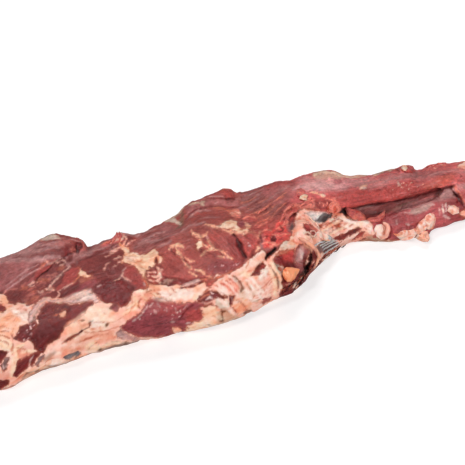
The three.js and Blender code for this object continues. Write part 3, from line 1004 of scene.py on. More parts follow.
# Painted glints on the grey flake.
glints_and_specks("lilac", GREY_FLAKE, 0.4, seed=46)
tint("olive", OLIVE_PATCH, 0.6, 1.5)
patch("white", CREAM_FLAKE, 0.4)
streaks("peach", 1.8, FOOT_PEACH, 0.3)
tint("steel", STEEL_PATCH, 0.95, 1)
patch("steel", STEEL_PATCH, -0.2)
veins("olive", 1.2, FOOT_FOLDS, -0.5, 0.7)
veins("olive", 1.3, HATCH, -0.3, 0.6)
streaks("cream", 1.5, FOOT_PALE, 0.3)
patch("lilac", BELLY_FILM, strength=0.75)
tint("steel", BELLY_FILM, 0.15)
streaks("mauve", 1.2, FILM_LINES, 0.2, strength=0.8)
# An umber line along the foot where it meets the table: the brown skin there, darkened by painted contact
# shade.
veins("umber", 2.2, [CONTACT_SHADE_LINE], 0, 0.5)
tell("films and creases of the foot")

# %% The belly muscle
BELLY = [
    (119, 327), (124, 324), (128, 320), (133, 317), (138, 314), (142, 310), (145, 306), (148, 301),
    (152, 298), (158, 299), (164, 301), (170, 302), (180, 304), (188, 304), (196, 302), (201, 303),
    (204, 306), (200, 308), (203, 313), (204, 318), (200, 321), (194, 323), (188, 327), (183, 331),
    (176, 333), (168, 336), (160, 337), (150, 338), (142, 337), (136, 336), (130, 334), (124, 331),
]
BELLY_RIM = [(146, 304), (150, 299), (156, 298), (164, 300), (172, 302), (182, 303)]
BELLY_RED = [
    (186, 312), (192, 309), (199, 309), (203, 314), (204, 318), (200, 320), (194, 322), (188, 324),
    (184, 320),
]
BELLY_GROOVE = [(180, 319), (184, 313), (188, 308), (194, 305)]
BELLY_TOP = [(150, 300), (164, 302), (184, 305), (186, 311), (172, 316), (156, 314), (148, 308)]
BELLY_HIGHLIGHTS = [
    [(133, 321), (136, 319)], [(138, 318), (142, 314)], [(142, 313), (145, 309)], [(146, 309), (148, 305)],
    [(150, 307), (153, 303)], [(157, 303), (160, 307)], [(166, 307), (167, 311)], [(176, 308), (177, 312)],
    [(183, 310), (186, 306)], [(171, 322), (174, 322)], [(186, 324), (190, 323)], [(154, 310), (156, 314)],
]
BOTTOM_NUB = [(172, 331), (173, 328), (177, 327), (181, 328), (180, 331), (176, 333)]
BOTTOM_FILM = [
    [(144, 338), (156, 338), (168, 337), (180, 334), (192, 331)], [(150, 340), (166, 339), (180, 336)],
]
BELLY_SPARKLE = [(140, 312), (156, 301), (188, 306), (186, 320), (166, 318), (140, 322)]
patch("plum", BELLY, 0.8)
tint("mauve", BELLY, 0.06)
tint("red", BELLY_TOP, 0.5, 3)
patch("red", BELLY_RED, 0.5, strength=0.75, soft=2)
streak("maroon", 2.4, BELLY_GROOVE, -0.7)
streak("rust", 2.2, BELLY_RIM, 0.2, strength=0.8)
glints_and_specks("lilac", BELLY_SPARKLE, 0.30, 0.0013, seed=47)
glints_and_specks("rust", BELLY_RED, 0.25, seed=48)
# Short pale streaks on the belly are painted highlights.
streaks("lilac", 1.4, BELLY_HIGHLIGHTS, 0.3, strength=0.7)
moisten(BELLY, 0.95)
patch("peach", BOTTOM_NUB, 0.5)
streaks("rose", 1.6, BOTTOM_FILM, 0.2)
tell("belly muscle")

# %% The long seam of fat
SEAM_LIGHT = [(152, 299), (156, 290), (176, 288), (194, 289), (199, 297), (180, 302)]
SEAM_WHITES_AND_HIGHLIGHTS = [
    [(159, 296), (162, 293), (168, 294), (172, 297), (170, 300), (162, 298)],
    [(175, 298), (178, 291), (184, 290), (190, 292), (192, 297), (186, 300), (179, 300)],
]
SEAM_PEACH = [
    [(150, 286), (160, 285), (172, 285), (178, 283), (180, 288), (168, 290), (152, 292)],
    [(196, 286), (204, 283), (206, 290), (200, 296), (194, 292)],
]
SEAM_LUMPS = [
    [(138, 292), (144, 290), (150, 291)], [(134, 298), (138, 304), (134, 310)], [(128, 308), (134, 304)],
    [(152, 294), (158, 296)], [(194, 299), (199, 296)], [(142, 296), (146, 300)], [(124, 314), (130, 310)],
]
SEAM_RUST = [
    [(170, 287), (173, 291), (176, 293)], [(157, 294), (161, 296)], [(140, 300), (138, 306), (140, 309)],
    [(146, 292), (154, 290)], [(178, 288), (186, 288)],
]
UNDER_HIGHLIGHT = [(180, 286), (185, 283), (192, 281), (199, 280), (201, 281), (195, 284), (188, 287)]
UNDER_DARK = [(181, 288), (188, 287), (196, 285), (205, 282), (208, 284)]
RED_EDGE = [(205, 284), (210, 281), (217, 279), (213, 284), (208, 287)]
WHITE_FLECK = [(214, 277), (218, 274), (222, 275), (223, 278), (219, 280)]
tint("white", SEAM_LIGHT, 0.9)
# The white spots of the seam are white fat with painted highlights on it.
for outline in SEAM_WHITES_AND_HIGHLIGHTS:
    patch("white", outline, 0.6)
    tint("white", outline, 0.9, 1)
for outline in SEAM_PEACH:
    patch("peach", outline, 0.1, strength=0.7)
streaks("cream", 2.6, SEAM_LUMPS, 0.6)
veins("rust", 1.5, SEAM_RUST, -0.5, 0.7)
tell("long seam of fat")

# %% Below the seam
LOW_FAT = [
    (184, 332), (190, 326), (198, 323), (204, 319), (204, 309), (214, 307), (218, 314), (217, 326),
    (205, 329), (192, 332),
]
DARK_BIT = [
    (197, 303), (199, 297), (204, 293), (207, 290), (212, 291), (217, 291), (221, 294), (229, 298),
    (222, 299), (215, 298), (212, 301), (205, 303),
]
DARK_BIT_LOW = [(189, 306), (196, 303), (204, 303), (205, 307), (197, 308)]
SILVER_BITS = [[(202, 302), (207, 304), (213, 301)], [(206, 300), (210, 297), (214, 300)]]
RUST_BITS = [
    [(204, 306), (210, 304), (216, 306)], [(200, 300), (204, 296), (210, 294)], [(222, 296), (226, 298)],
]
BONE_RIDGE = [
    (216, 300), (218, 297), (222, 298), (226, 301), (229, 305), (232, 309), (237, 313), (235, 316),
    (230, 313), (225, 309), (219, 307), (216, 304),
]
RIDGE_LINES = [[(219, 299), (226, 305), (233, 313)], [(222, 299), (229, 306), (236, 314)]]
TAN_FOOT = [(217, 312), (222, 309), (230, 314), (238, 317), (236, 324), (224, 328), (216, 328)]
GREY_CRACKS = [
    [(221, 309), (222, 314), (222, 322)], [(220, 311), (224, 311), (226, 312)], [(208, 323), (210, 325)],
    [(219, 320), (223, 321)], [(234, 320), (240, 318)],
]
DARK_POCKET = [(229, 294), (233, 293), (235, 296), (233, 303), (230, 305), (228, 299)]
POCKET_GLINT = [(231, 297), (233, 299), (232, 302)]
PEACH_TISSUE = [
    (232, 303), (236, 296), (242, 296), (248, 300), (252, 304), (248, 309), (240, 312), (236, 311),
]
TISSUE_LINES = [
    [(230, 304), (234, 309), (237, 313)], [(238, 300), (243, 304), (246, 309)], [(250, 300), (256, 303)],
    [(234, 297), (238, 302)], [(244, 310), (252, 311)],
]
OLIVE_SPOT = [(244, 314), (248, 311), (252, 311)]
RED_PATCH = [(261, 303), (264, 300), (269, 298), (273, 298), (269, 301), (264, 304)]
LOW_BLUSH = [(204, 309), (214, 308), (216, 320), (206, 324)]
BIT_RIM = [(204, 293), (209, 289), (218, 291), (229, 298)]
patch("cream", LOW_FAT, 0.4)
tint("peach", LOW_BLUSH, 0.4)
patch("maroon", DARK_BIT, -0.5)
streak("rust", 2.0, BIT_RIM, 0.2)
patch("plum", DARK_BIT_LOW, -0.4)
# Painted glints on the dark bit.
glints_and_specks("lilac", DARK_BIT, 0.30, seed=49)
streaks("lilac", 1.6, SILVER_BITS, 0.3, strength=0.8)
streaks("rust", 1.8, RUST_BITS, 0.2, strength=0.8)
patch("tallow", TAN_FOOT, 0.1)
patch("bone", BONE_RIDGE, 1.0)
streaks("white", 1.5, RIDGE_LINES, 0.5)
veins("olive", 1.4, GREY_CRACKS, -0.5, 0.9)
patch("plum", DARK_POCKET, -1.2)
streak("lilac", 1.8, POCKET_GLINT, 0.4)
patch("peach", PEACH_TISSUE, 0.3)
veins("rust", 1.2, TISSUE_LINES, -0.5, 0.8)
streak("olive", 2.2, OLIVE_SPOT, -0.3)
patch("red", RED_PATCH, -0.2, strength=0.7)
tell("below the seam")

# %% The streaked fat under the middle
STREAKED_FAT = [
    (206, 290), (214, 285), (224, 280), (232, 280), (240, 290), (242, 296), (234, 296), (226, 294),
    (216, 291),
]
STREAK_REDS = [
    [(226, 281), (232, 286), (239, 294)], [(221, 283), (229, 289), (234, 294)], [(213, 284), (218, 288)],
    [(230, 279), (236, 286), (242, 293)], [(210, 288), (214, 290)], [(205, 283), (209, 287)],
]
STREAK_WHITES = [
    [(230, 277), (236, 283), (242, 291)], [(224, 281), (231, 287), (237, 294)], [(218, 284), (226, 291)],
    [(216, 287), (223, 293)], [(222, 293), (228, 295)],
]
OLIVE_SHADE = [(233, 276), (238, 280), (243, 287), (241, 291), (237, 285), (233, 280)]
TAN_PATCH = [(239, 287), (246, 289), (249, 296), (243, 299), (238, 294)]
CREAM_SHELF = [(238, 275), (244, 270), (250, 267), (253, 273), (250, 278), (244, 278)]
WALL_PINK = [(254, 282), (262, 281), (270, 284), (273, 292), (268, 298), (258, 292)]
patch("rose", STREAKED_FAT, 0.2)
streaks("white", 1.7, STREAK_WHITES, 0.5)
veins("salmon", 2.0, STREAK_REDS, -0.3, 0.8)
# The olive in the hollow is painted shade.
tint("olive", OLIVE_SHADE, 0.45, 1.5)
tint("tallow", TAN_PATCH, 0.8)
tint("cream", CREAM_SHELF, 0.9)
tint("pink", WALL_PINK, 0.45)
tell("streaked fat under the middle")

# %% Ridges and the dark button
WHITE_RIDGES = [
    [(246, 281), (252, 288), (260, 297)], [(243, 284), (248, 292)], [(250, 278), (258, 286), (262, 292)],
    [(258, 293), (262, 299)], [(248, 297), (254, 301), (258, 300)],
]
WALL_CREASES = [[(252, 301), (257, 302), (260, 300)], [(246, 282), (251, 290), (254, 296)]]
EDGE_STRIPES = [
    [(267, 266), (272, 274), (275, 284), (275, 295)], [(271, 262), (276, 271), (281, 280), (282, 288)],
]
EDGE_DARKLINES = [
    [(269, 264), (274, 272), (278, 282), (278, 292)], [(272, 258), (277, 266), (283, 274), (285, 282)],
]
EDGE_STEEL = [
    (274, 262), (278, 262), (282, 269), (285, 277), (285, 287), (281, 291), (279, 284), (277, 274),
]
OVER_BUTTON = [
    (246, 271), (249, 264), (252, 258), (257, 254), (262, 251), (266, 252), (267, 257), (264, 261),
    (260, 264), (256, 268), (251, 272),
]
DARK_BUTTON = [
    (252, 274), (256, 268), (260, 264), (264, 261), (267, 265), (266, 269), (262, 272), (261, 276),
    (257, 277), (250, 278),
]
BUTTON_SIDE = [(264, 272), (268, 270), (267, 275), (263, 279), (258, 279)]
BUTTON_GLINT = [(261, 276), (262, 272), (266, 269), (269, 267)]
BUTTON_RIDGE = [(249, 264), (252, 258), (257, 254), (263, 251)]
BUTTON_RED = [(259, 267), (264, 262), (267, 265), (263, 269)]
streaks("white", 2.2, WHITE_RIDGES, 0.7)
veins("tallow", 2.0, WALL_CREASES, -0.4, 0.8)
# A line of painted shade along the hollow.
veins("olive", 1.6, [OLIVE_SHADE[:4]], -0.7, 0.8)
moisten(WALL_PINK, 0.9)
patch("bone", EDGE_STEEL, 0.2)
tint("steel", EDGE_STEEL, 0.5, 1)
streaks("cream", 2.2, EDGE_STRIPES, 0.7)
veins("olive", 1.2, EDGE_DARKLINES, -0.5, 0.8)
patch("rose", OVER_BUTTON, 1.2)
tint("peach", OVER_BUTTON, 0.3)
streak("white", 1.6, BUTTON_RIDGE, 0.5)
patch("maroon", DARK_BUTTON, -0.9)
patch("red", BUTTON_RED, 0.2, strength=0.7)
patch("white", BUTTON_SIDE, 1.4)
streak("white", 2.6, BUTTON_GLINT, 0.6)
tell("ridges and the dark button")

# %% [markdown]
# The middle is the thickest part. Its muscle has smooth folds at the back, flakes of fat that run with
# the grain, and a raw bright red place where another muscle was torn off.

# %% The middle muscle
MIDDLE_SHEEN = [
    (130, 252), (134, 244), (142, 236), (156, 228), (168, 224), (180, 228), (196, 222), (184, 232),
    (170, 240), (156, 246), (144, 252),
]
MIDDLE_STROKES = [
    [(142, 240), (156, 233), (170, 231)], [(134, 248), (146, 242), (158, 240)],
    [(150, 244), (164, 238), (178, 233)], [(144, 233), (158, 228)], [(186, 220), (194, 212), (204, 208)],
    [(180, 232), (188, 226), (196, 223)], [(160, 247), (172, 241)], [(138, 244), (150, 238)],
    [(152, 250), (166, 243)],
]
MIDDLE_DARKS = [
    [(142, 237), (154, 232), (166, 229)], [(148, 248), (160, 242), (172, 238)], [(158, 251), (162, 246)],
    [(166, 232), (176, 230)], [(136, 251), (148, 247)], [(162, 260), (160, 268), (162, 276)],
]
WARM_PLANE = [
    (164, 262), (172, 250), (184, 244), (196, 258), (214, 262), (206, 276), (186, 282), (166, 278),
]
FAR_PLANE = [(206, 240), (216, 234), (232, 236), (242, 250), (246, 262), (230, 268), (214, 262)]
LOW_SHADE = [(160, 284), (162, 277), (176, 278), (192, 279), (206, 277), (202, 283), (182, 286), (168, 286)]
FAT_FLAKES = {
    2.8: [
        [(191, 229), (195, 235), (200, 237), (204, 236)], [(206, 235), (208, 240), (211, 245), (214, 250)],
        [(176, 248), (179, 254), (183, 259)], [(176, 246), (179, 245), (184, 248)],
        [(183, 261), (188, 266), (192, 269)],
    ],
    2.2: [
        [(201, 256), (205, 252), (212, 250), (218, 250)], [(222, 252), (227, 256), (232, 258)],
        [(195, 270), (200, 270), (204, 274)], [(169, 249), (173, 246), (177, 244)],
        [(200, 240), (204, 245), (210, 249)], [(243, 235), (248, 231), (254, 232)],
    ],
    1.5: [
        [(185, 258), (190, 261), (194, 261)], [(218, 257), (224, 257)], [(256, 244), (259, 248), (256, 251)],
        [(208, 232), (204, 236)], [(213, 248), (220, 251), (228, 252)], [(196, 235), (192, 232)],
        [(258, 238), (260, 232)], [(190, 272), (196, 276)], [(206, 276), (213, 278)],
    ],
}
ORANGE_BLUSH = [(198, 240), (204, 238), (212, 248), (214, 251), (206, 251), (200, 246)]
patch("maroon", LOW_SHADE, -0.8, strength=0.7)
tint("brown", MIDDLE_SHEEN, 0.6, 4)
tint("mauve", MIDDLE_SHEEN, 0.25, 4)
streaks("mauve", 1.5, MIDDLE_STROKES, 0.3, strength=0.75)
streaks("maroon", 1.6, MIDDLE_DARKS, -0.3, strength=0.45)
tint("red", WARM_PLANE, 0.3, 6)
tint("red", FAR_PLANE, 0.4, 4)
tint("red", ORANGE_BLUSH, 0.6)
for width, lines in FAT_FLAKES.items():
    veins("salmon", width + 3.0, lines, 0.1, 0.3)
    veins("peach", 0.85 * width, lines, 0.4, 0.9)
tell("middle muscle")

# %% Yellow fat and the crevice
FLAKE_DARKS = [
    [(196, 246), (201, 252), (206, 256)], [(202, 250), (212, 255), (222, 258)], [(186, 262), (190, 268)],
    [(208, 240), (214, 247), (220, 251)], [(180, 255), (186, 262)], [(171, 250), (175, 256)],
]
CREAM_BEAD = [(196, 245), (198, 242), (202, 242), (202, 248), (199, 250), (197, 249)]
YELLOW_FAT = [
    (214, 226), (220, 226), (226, 222), (232, 221), (237, 222), (236, 226), (241, 229), (247, 228),
    (249, 230), (244, 233), (238, 232), (232, 230), (225, 228), (219, 228),
]
YELLOW_TAILS = [
    [(206, 225), (212, 226), (218, 228)], [(222, 229), (230, 232), (238, 233)],
    [(245, 222), (249, 226), (247, 230)], [(240, 233), (247, 231), (254, 232), (257, 237)],
]
YELLOW_GAPS = [[(224, 226), (230, 225)], [(228, 229), (235, 228)], [(240, 230), (244, 230)]]
DARK_ISLAND = [(237, 223), (241, 221), (245, 224), (243, 228), (238, 227)]
CREVICE = [(234, 235), (237, 240), (239, 246), (242, 252), (246, 257)]
CREVICE_SHADE = [(226, 236), (234, 233), (240, 242), (245, 254), (246, 262), (238, 258), (230, 250)]
RAISED_FLAP = [
    (239, 240), (244, 236), (250, 233), (256, 234), (258, 240), (256, 246), (253, 251), (249, 256),
    (245, 252), (242, 247),
]
WET_PLUM = [
    (208, 266), (214, 262), (222, 259), (234, 261), (242, 262), (236, 268), (226, 273), (214, 275),
    (208, 271),
]
FLAP_SPARKLE = [(242, 240), (256, 238), (256, 248), (246, 255)]
MIDDLE_RIM = [(200, 280), (210, 279), (222, 277), (232, 271)]
veins("maroon", 2.4, FLAKE_DARKS, -0.6, 0.5)
patch("cream", CREAM_BEAD, 0.8)
patch("cream", YELLOW_FAT, 0.4)
tint("tallow", YELLOW_FAT, 0.4)
veins("rust", 1.4, YELLOW_GAPS, -0.4, 0.6)
veins("peach", 2.6, YELLOW_TAILS, 0.2, 0.8)
patch("plum", DARK_ISLAND, 0.1)
patch("maroon", CREVICE_SHADE, -0.8, strength=0.6, soft=4)
# The maroon and black down the crevice are painted shade.
streak("maroon", 5.0, CREVICE, -2.0, 2.0, 0.9)
streak("black", 1.8, CREVICE, -0.6, 1.2, 0.6)
patch("red", RAISED_FLAP, 1.4, strength=0.7)
glints_and_specks("lilac", FLAP_SPARKLE, 0.22, seed=50)
tint("plum", WET_PLUM, 0.5)
moisten(WET_PLUM, 0.9)
# Painted glints on the wet plum.
glints_and_specks("satin", WET_PLUM, 0.3, seed=51)
# A raised lilac strip under the middle that is also a painted highlight.
patch("lilac", UNDER_HIGHLIGHT, 0.4)
streak("maroon", 2.2, UNDER_DARK, -0.9)
patch("red", RED_EDGE, 0.2)
patch("white", WHITE_FLECK, 0.8)
streak("rust", 2.2, MIDDLE_RIM, 0.2)
tell("yellow fat and the crevice")

# %% The folds along the back
NECK_FAT = [(166, 222), (170, 220), (174, 221), (180, 224), (180, 227), (177, 228), (172, 226), (169, 223)]
NECK_STRANDS = [
    [(170, 219), (176, 216), (181, 211), (184, 206)], [(188, 205), (194, 203), (204, 201)],
    [(200, 203), (204, 205)],
]
SHADOW_VALLEY = [(180, 212), (184, 212), (184, 220), (182, 226), (174, 231), (178, 224), (180, 218)]
NEAR_LOBE = [(158, 226), (164, 223), (172, 226), (176, 230), (168, 232), (160, 229)]
UPPER_FOLD = [
    (186, 207), (196, 201), (210, 198), (226, 198), (236, 200), (238, 205), (226, 206), (208, 206),
    (196, 211), (186, 216),
]
BACK_FLAP = [
    (206, 198), (212, 193), (218, 191), (224, 188), (230, 188), (233, 192), (235, 197), (226, 199),
    (214, 198),
]
FLAP_TIP = [(222, 190), (225, 187), (228, 189)]
FOLD_LINES = [
    [(206, 198), (216, 198), (228, 199), (236, 200)], [(188, 214), (198, 209), (210, 207)],
    [(210, 206), (224, 207), (238, 207)], [(184, 222), (190, 214), (198, 209)],
]
FOLD_PALES = [
    [(208, 197), (216, 196), (224, 197)], [(190, 217), (198, 211), (206, 209)], [(214, 204), (218, 202)],
    [(236, 199), (244, 200), (252, 196)], [(196, 225), (206, 222)], [(204, 210), (211, 210)],
    [(200, 219), (210, 217), (220, 218)],
]
ORANGE_SPOT = [(228, 211), (233, 209), (239, 209), (242, 213), (240, 216), (236, 218), (231, 215)]
ORANGE_TAIL = [(214, 207), (222, 208), (230, 211)]
RED_BLOB = [(241, 218), (247, 215), (254, 213), (258, 217), (256, 221), (249, 222), (243, 221)]
BLOB_SHADE = [(241, 220), (247, 222), (254, 222)]
SHRED_ROOT = [(254, 212), (260, 208), (266, 208), (266, 213), (258, 214)]
SPOT_CREASES = [[(228, 214), (232, 217), (238, 216)]]
SPOT_GLINT = [(230, 213), (235, 211), (240, 213)]
BLOB_GLINT = [(243, 218), (249, 216), (255, 217)]
patch("purple", UPPER_FOLD, 0.6, strength=0.7)
patch("purple", NEAR_LOBE, 0.4, strength=0.7)
patch("red", BACK_FLAP, 1.2, strength=0.75)
streak("rust", 1.8, FLAP_TIP, 0.3)
# The olive in the valley is painted shade.
patch("olive", SHADOW_VALLEY, -0.9, strength=0.7)
streaks("maroon", 1.8, FOLD_LINES, -0.7, strength=0.6)
streaks("mauve", 1.5, FOLD_PALES, 0.3, strength=0.8)
veins("bone", 4.0, [NECK_FAT[:4]], 0.5, 0.85)
veins("tallow", 1.8, NECK_STRANDS, 0.3, 0.8)
patch("salmon", ORANGE_SPOT, 0.9, strength=0.95)
veins("maroon", 1.4, SPOT_CREASES, -0.5, 0.5)
streak("rose", 1.6, SPOT_GLINT, 0.3)
streak("rust", 2.2, ORANGE_TAIL, 0.3, strength=0.7)
patch("red", RED_BLOB, 0.8, strength=0.8)
streak("salmon", 1.8, BLOB_GLINT, 0.3)
streak("maroon", 1.6, BLOB_SHADE, -0.6)
patch("rust", SHRED_ROOT, 0.5, strength=0.9)
tell("folds along the back")

# %% The silver back with its shreds
SILVER_BACK = [
    (234, 206), (240, 196), (252, 190), (266, 186), (292, 182), (298, 190), (288, 204), (276, 218),
    (262, 216), (250, 212),
]
SILVER_STROKES = [
    [(238, 208), (250, 203), (262, 196)], [(246, 212), (258, 206), (272, 196)],
    [(244, 197), (254, 193), (264, 188)], [(266, 202), (276, 194), (286, 188)], [(250, 199), (262, 192)],
    [(272, 210), (284, 200)], [(278, 190), (290, 186)],
]
SHREDS = [
    [(241, 203), (248, 201), (256, 196)], [(262, 210), (272, 202), (284, 196)],
    [(266, 214), (274, 206), (282, 201)], [(250, 215), (260, 211), (268, 207)],
    [(256, 218), (266, 214), (272, 210)], [(270, 219), (278, 210), (286, 203)], [(258, 203), (268, 198)],
    [(262, 222), (270, 216)], [(276, 200), (286, 192)], [(248, 209), (256, 206)], [(255, 225), (263, 219)],
]
SHRED_DARKS = [
    [(264, 212), (272, 205), (280, 199)], [(272, 215), (282, 206), (288, 200)], [(252, 204), (262, 199)],
    [(258, 212), (264, 213)], [(270, 223), (280, 214)], [(284, 206), (290, 202)],
]
BACK_RIDGE = [(264, 186), (272, 183), (284, 181), (296, 180), (292, 184), (278, 185), (268, 187)]
tint("brown", SILVER_BACK, 0.5, 4)
tint("mauve", SILVER_BACK, 0.25, 4)
streaks("mauve", 1.4, SILVER_STROKES, 0.25, strength=0.65)
streaks("maroon", 1.5, SHRED_DARKS, -0.4, strength=0.55)
streaks("rust", 1.6, SHREDS, 0.5, strength=0.7)
streaks("salmon", 0.8, SHREDS, 0.2, strength=0.6)
patch("red", BACK_RIDGE, 0.6, strength=0.8)
tell("silver back with its shreds")

# %% The raw red place
RAW_PLACE = [
    (262, 236), (264, 230), (267, 226), (271, 229), (276, 225), (279, 221), (285, 221), (287, 226),
    (287, 231), (291, 234), (290, 239), (285, 242), (280, 243), (276, 246), (270, 248), (265, 248),
    (263, 243),
]
RAW_FRINGE = [
    (246, 232), (254, 226), (262, 220), (270, 222), (266, 228), (258, 238), (258, 246), (250, 240),
]
RAW_HOLE = [(270, 239), (272, 235), (275, 235), (277, 239), (275, 242), (271, 241)]
RAW_HIGHLIGHTS = [
    [(262, 232), (267, 230), (272, 229)], [(276, 229), (282, 226), (286, 223)],
    [(262, 244), (268, 242), (275, 245)], [(278, 236), (284, 234), (290, 234)],
    [(258, 227), (262, 224), (267, 222)], [(270, 247), (278, 244), (284, 243)],
]
RAW_SHADES = [
    [(274, 232), (280, 232), (284, 229)], [(264, 238), (268, 236)], [(279, 240), (284, 239)],
    [(260, 235), (262, 242)], [(280, 225), (283, 229)],
]
RED_FINGERS = [
    [(283, 215), (285, 210), (289, 207), (294, 204)], [(284, 223), (288, 217), (291, 212), (297, 211)],
    [(280, 222), (284, 216), (288, 213)],
]
FINGER_SHADE = [[(287, 213), (290, 209), (294, 211)], [(290, 219), (292, 215), (295, 213)]]
SLIT = [(265, 260), (267, 255), (270, 251), (273, 248), (276, 249), (274, 253), (270, 256), (267, 260)]
BONE_HEAD = [(280, 246), (284, 242), (289, 240), (294, 244), (294, 248), (287, 249), (282, 250)]
patch("red", RAW_FRINGE, 0.1, strength=0.7, soft=3)
patch("bright", RAW_PLACE, 0.6, soft=2, strength=0.9)
raw_bumps = patches(place, 0.0040, 78) + patches(place, 0.0021, 79)
lift += 0.6 * ramp(0, 4, distance_in(pixel, RAW_PLACE)) * raw_bumps
# Salmon strokes on the raw place are painted highlights, and the maroon ones are painted shade in its dips.
streaks("salmon", 1.8, RAW_HIGHLIGHTS, 0.6)
streaks("maroon", 2.0, RAW_SHADES, -0.8, 1.2, 0.8)
patch("maroon", RAW_HOLE, -1.8)
streaks("red", 3.4, RED_FINGERS, 0.9)
# The salmon cores of the red fingers are painted highlights.
streaks("salmon", 1.2, RED_FINGERS, 0.2)
streaks("maroon", 1.8, FINGER_SHADE, -0.9)
# The black in the slit is painted shade.
patch("black", SLIT, -3.0)
patch("bone", BONE_HEAD, 0.5)
glints_and_specks("olive", BONE_HEAD, 0.35, seed=52, rise=-0.4)
# Painted glints on the raw place.
glints_and_specks("salmon", RAW_PLACE, 0.5, 0.0022, seed=53)
tell("raw red place")

# %% [markdown]
# Where the tail begins, fat, sinew and torn muscle cross in a knot. There are pockets between them: one holds
# a dark red muscle, and one is deep, its dark fibres painted nearly black as painted shade. Sinews show there
# as a pale grey bundle of cords.

# %% The pockets of the knot
RED_BULGE = [
    (273, 259), (276, 255), (281, 252), (288, 251), (294, 249), (297, 254), (297, 260), (295, 265),
    (290, 268), (284, 268), (279, 265), (275, 262),
]
BULGE_GLOW = [(281, 255), (285, 251), (294, 250), (296, 256), (293, 262), (286, 261)]
BULGE_DARK = [(274, 260), (280, 257), (286, 264), (294, 264), (290, 268), (282, 268)]
BROWN_SPOT = [(277, 269), (279, 266), (282, 269), (280, 272)]
ROSE_WALL = [
    (295, 262), (295, 252), (297, 246), (303, 242), (309, 245), (311, 250), (308, 257), (305, 263),
    (302, 271), (298, 271),
]
WALL_GLINT = [(300, 249), (302, 254), (302, 259)]
POCKET_FLOOR = [
    (283, 266), (298, 262), (305, 262), (309, 268), (303, 281), (297, 290), (290, 293), (284, 291),
    (281, 282),
]
BULGE_RIM = [(276, 255), (282, 252), (290, 251)]
BULGE_SPARKLE = [(276, 258), (283, 257), (283, 263), (278, 264)]
WALL_LIGHT = [(297, 262), (298, 249), (303, 246), (304, 254), (300, 264)]
WALL_SHADE = [(300, 263), (308, 258), (311, 250), (306, 246), (304, 254), (298, 268)]
patch("maroon", POCKET_FLOOR, -1.2)
patch("maroon", RED_BULGE, 0.9)
patch("bright", BULGE_GLOW, 0.3, strength=0.5, soft=3)
streak("rust", 2.4, BULGE_RIM, 0.2, 1.5, 0.8)
tint("maroon", BULGE_DARK, 0.8, 2)
glints_and_specks("lilac", BULGE_SPARKLE, 0.32, seed=54)
patch("rust", BROWN_SPOT, -0.4)
patch("purple", ROSE_WALL, -0.3, soft=2, strength=0.85)
tint("lilac", WALL_LIGHT, 0.4, 2)
patch("maroon", WALL_SHADE, -0.6, strength=0.6, soft=2)
streak("lilac", 2.4, WALL_GLINT, 0.3, strength=0.9)
tell("pockets of the knot")

# %% The fringe below the knot
BLACK_POCKET = [
    (309, 254), (311, 251), (313, 253), (313, 258), (311, 264), (308, 272), (303, 281), (298, 289),
    (294, 292), (292, 286), (299, 275), (304, 268), (308, 261),
]
RED_WALL = [
    (307, 246), (311, 246), (316, 251), (320, 256), (319, 262), (315, 269), (310, 275), (304, 282),
    (306, 272), (312, 262),
]
LOWER_FRINGE = [
    (278, 300), (279, 292), (285, 287), (291, 285), (296, 281), (303, 276), (309, 274), (314, 270),
    (319, 264), (323, 256), (330, 250), (342, 246), (346, 256), (330, 270), (312, 292), (292, 306),
]
FRINGE_LINES = [
    [(298, 281), (304, 275), (309, 270)], [(294, 291), (300, 285), (306, 279)],
    [(284, 293), (290, 289), (296, 286)], [(318, 264), (326, 256), (334, 250)], [(312, 274), (320, 266)],
]
FRINGE_PALES = [
    [(293, 288), (294, 285), (296, 283)], [(300, 279), (305, 274)], [(296, 290), (298, 286)],
    [(322, 262), (330, 254)], [(286, 286), (290, 283)],
]
POCKET_LINES = [[(312, 254), (309, 264), (301, 278)], [(312, 259), (306, 272), (297, 285)]]
patch("maroon", LOWER_FRINGE, -0.5, strength=0.95)
patch("maroon", RED_WALL, -0.6)
# The pocket is painted umber with black lines: painted shade over its dark fibres.
patch("umber", BLACK_POCKET, -2.6)
streaks("black", 1.6, POCKET_LINES, -0.8)
streaks("umber", 1.8, FRINGE_LINES, -0.8, strength=0.8)
streaks("bone", 1.1, FRINGE_PALES, 0.4, strength=0.7)
moisten(LOWER_FRINGE, 0.9)
moisten(RED_BULGE, 0.9)
tell("fringe below the knot")

# %% The sinews and hollows of the knot
FAT_COLUMN = [
    (294, 238), (294, 226), (297, 215), (300, 211), (305, 209), (309, 213), (313, 219), (309, 223),
    (303, 224), (301, 230), (304, 236), (309, 242), (304, 245), (296, 242),
]
COLUMN_FOLDS = [
    [(299, 231), (301, 235), (303, 239)], [(296, 222), (300, 218), (304, 216)], [(296, 240), (302, 243)],
    [(306, 219), (310, 223)],
]
INNER_STRIP = [(289, 226), (291, 218), (294, 212), (297, 214), (295, 222), (293, 230), (291, 230)]
RED_HOLLOW = [(303, 223), (310, 224), (317, 229), (317, 235), (311, 237), (306, 234), (304, 229)]
HOLLOW_DARKS = [
    [(304, 227), (308, 229), (311, 230)], [(305, 234), (308, 235), (311, 234)], [(312, 236), (315, 235)],
]
HOLLOW_PALES = [[(304, 233), (308, 232), (311, 234)], [(311, 236), (314, 237), (317, 235)]]
COLUMN_FOOT = [(288, 246), (290, 238), (296, 236), (300, 242), (294, 245)]
COLUMN_BLUSH = [(294, 240), (295, 215), (302, 208), (309, 212), (303, 222), (308, 242)]
COLUMN_PEACH = [(300, 238), (308, 240), (316, 248), (312, 252), (304, 246)]
STRIP_DARKS = [[(295, 213), (293, 220), (291, 229)]]
STRIP_STEEL = [(289, 229), (291, 222), (294, 222), (293, 231)]
STRIP_RIM = [[(287, 225), (288, 217), (292, 211), (297, 208)]]
HOLLOW_GLOW = [(309, 224), (317, 227), (318, 232), (311, 230)]
patch("peach", COLUMN_FOOT, 0.4, strength=0.7)
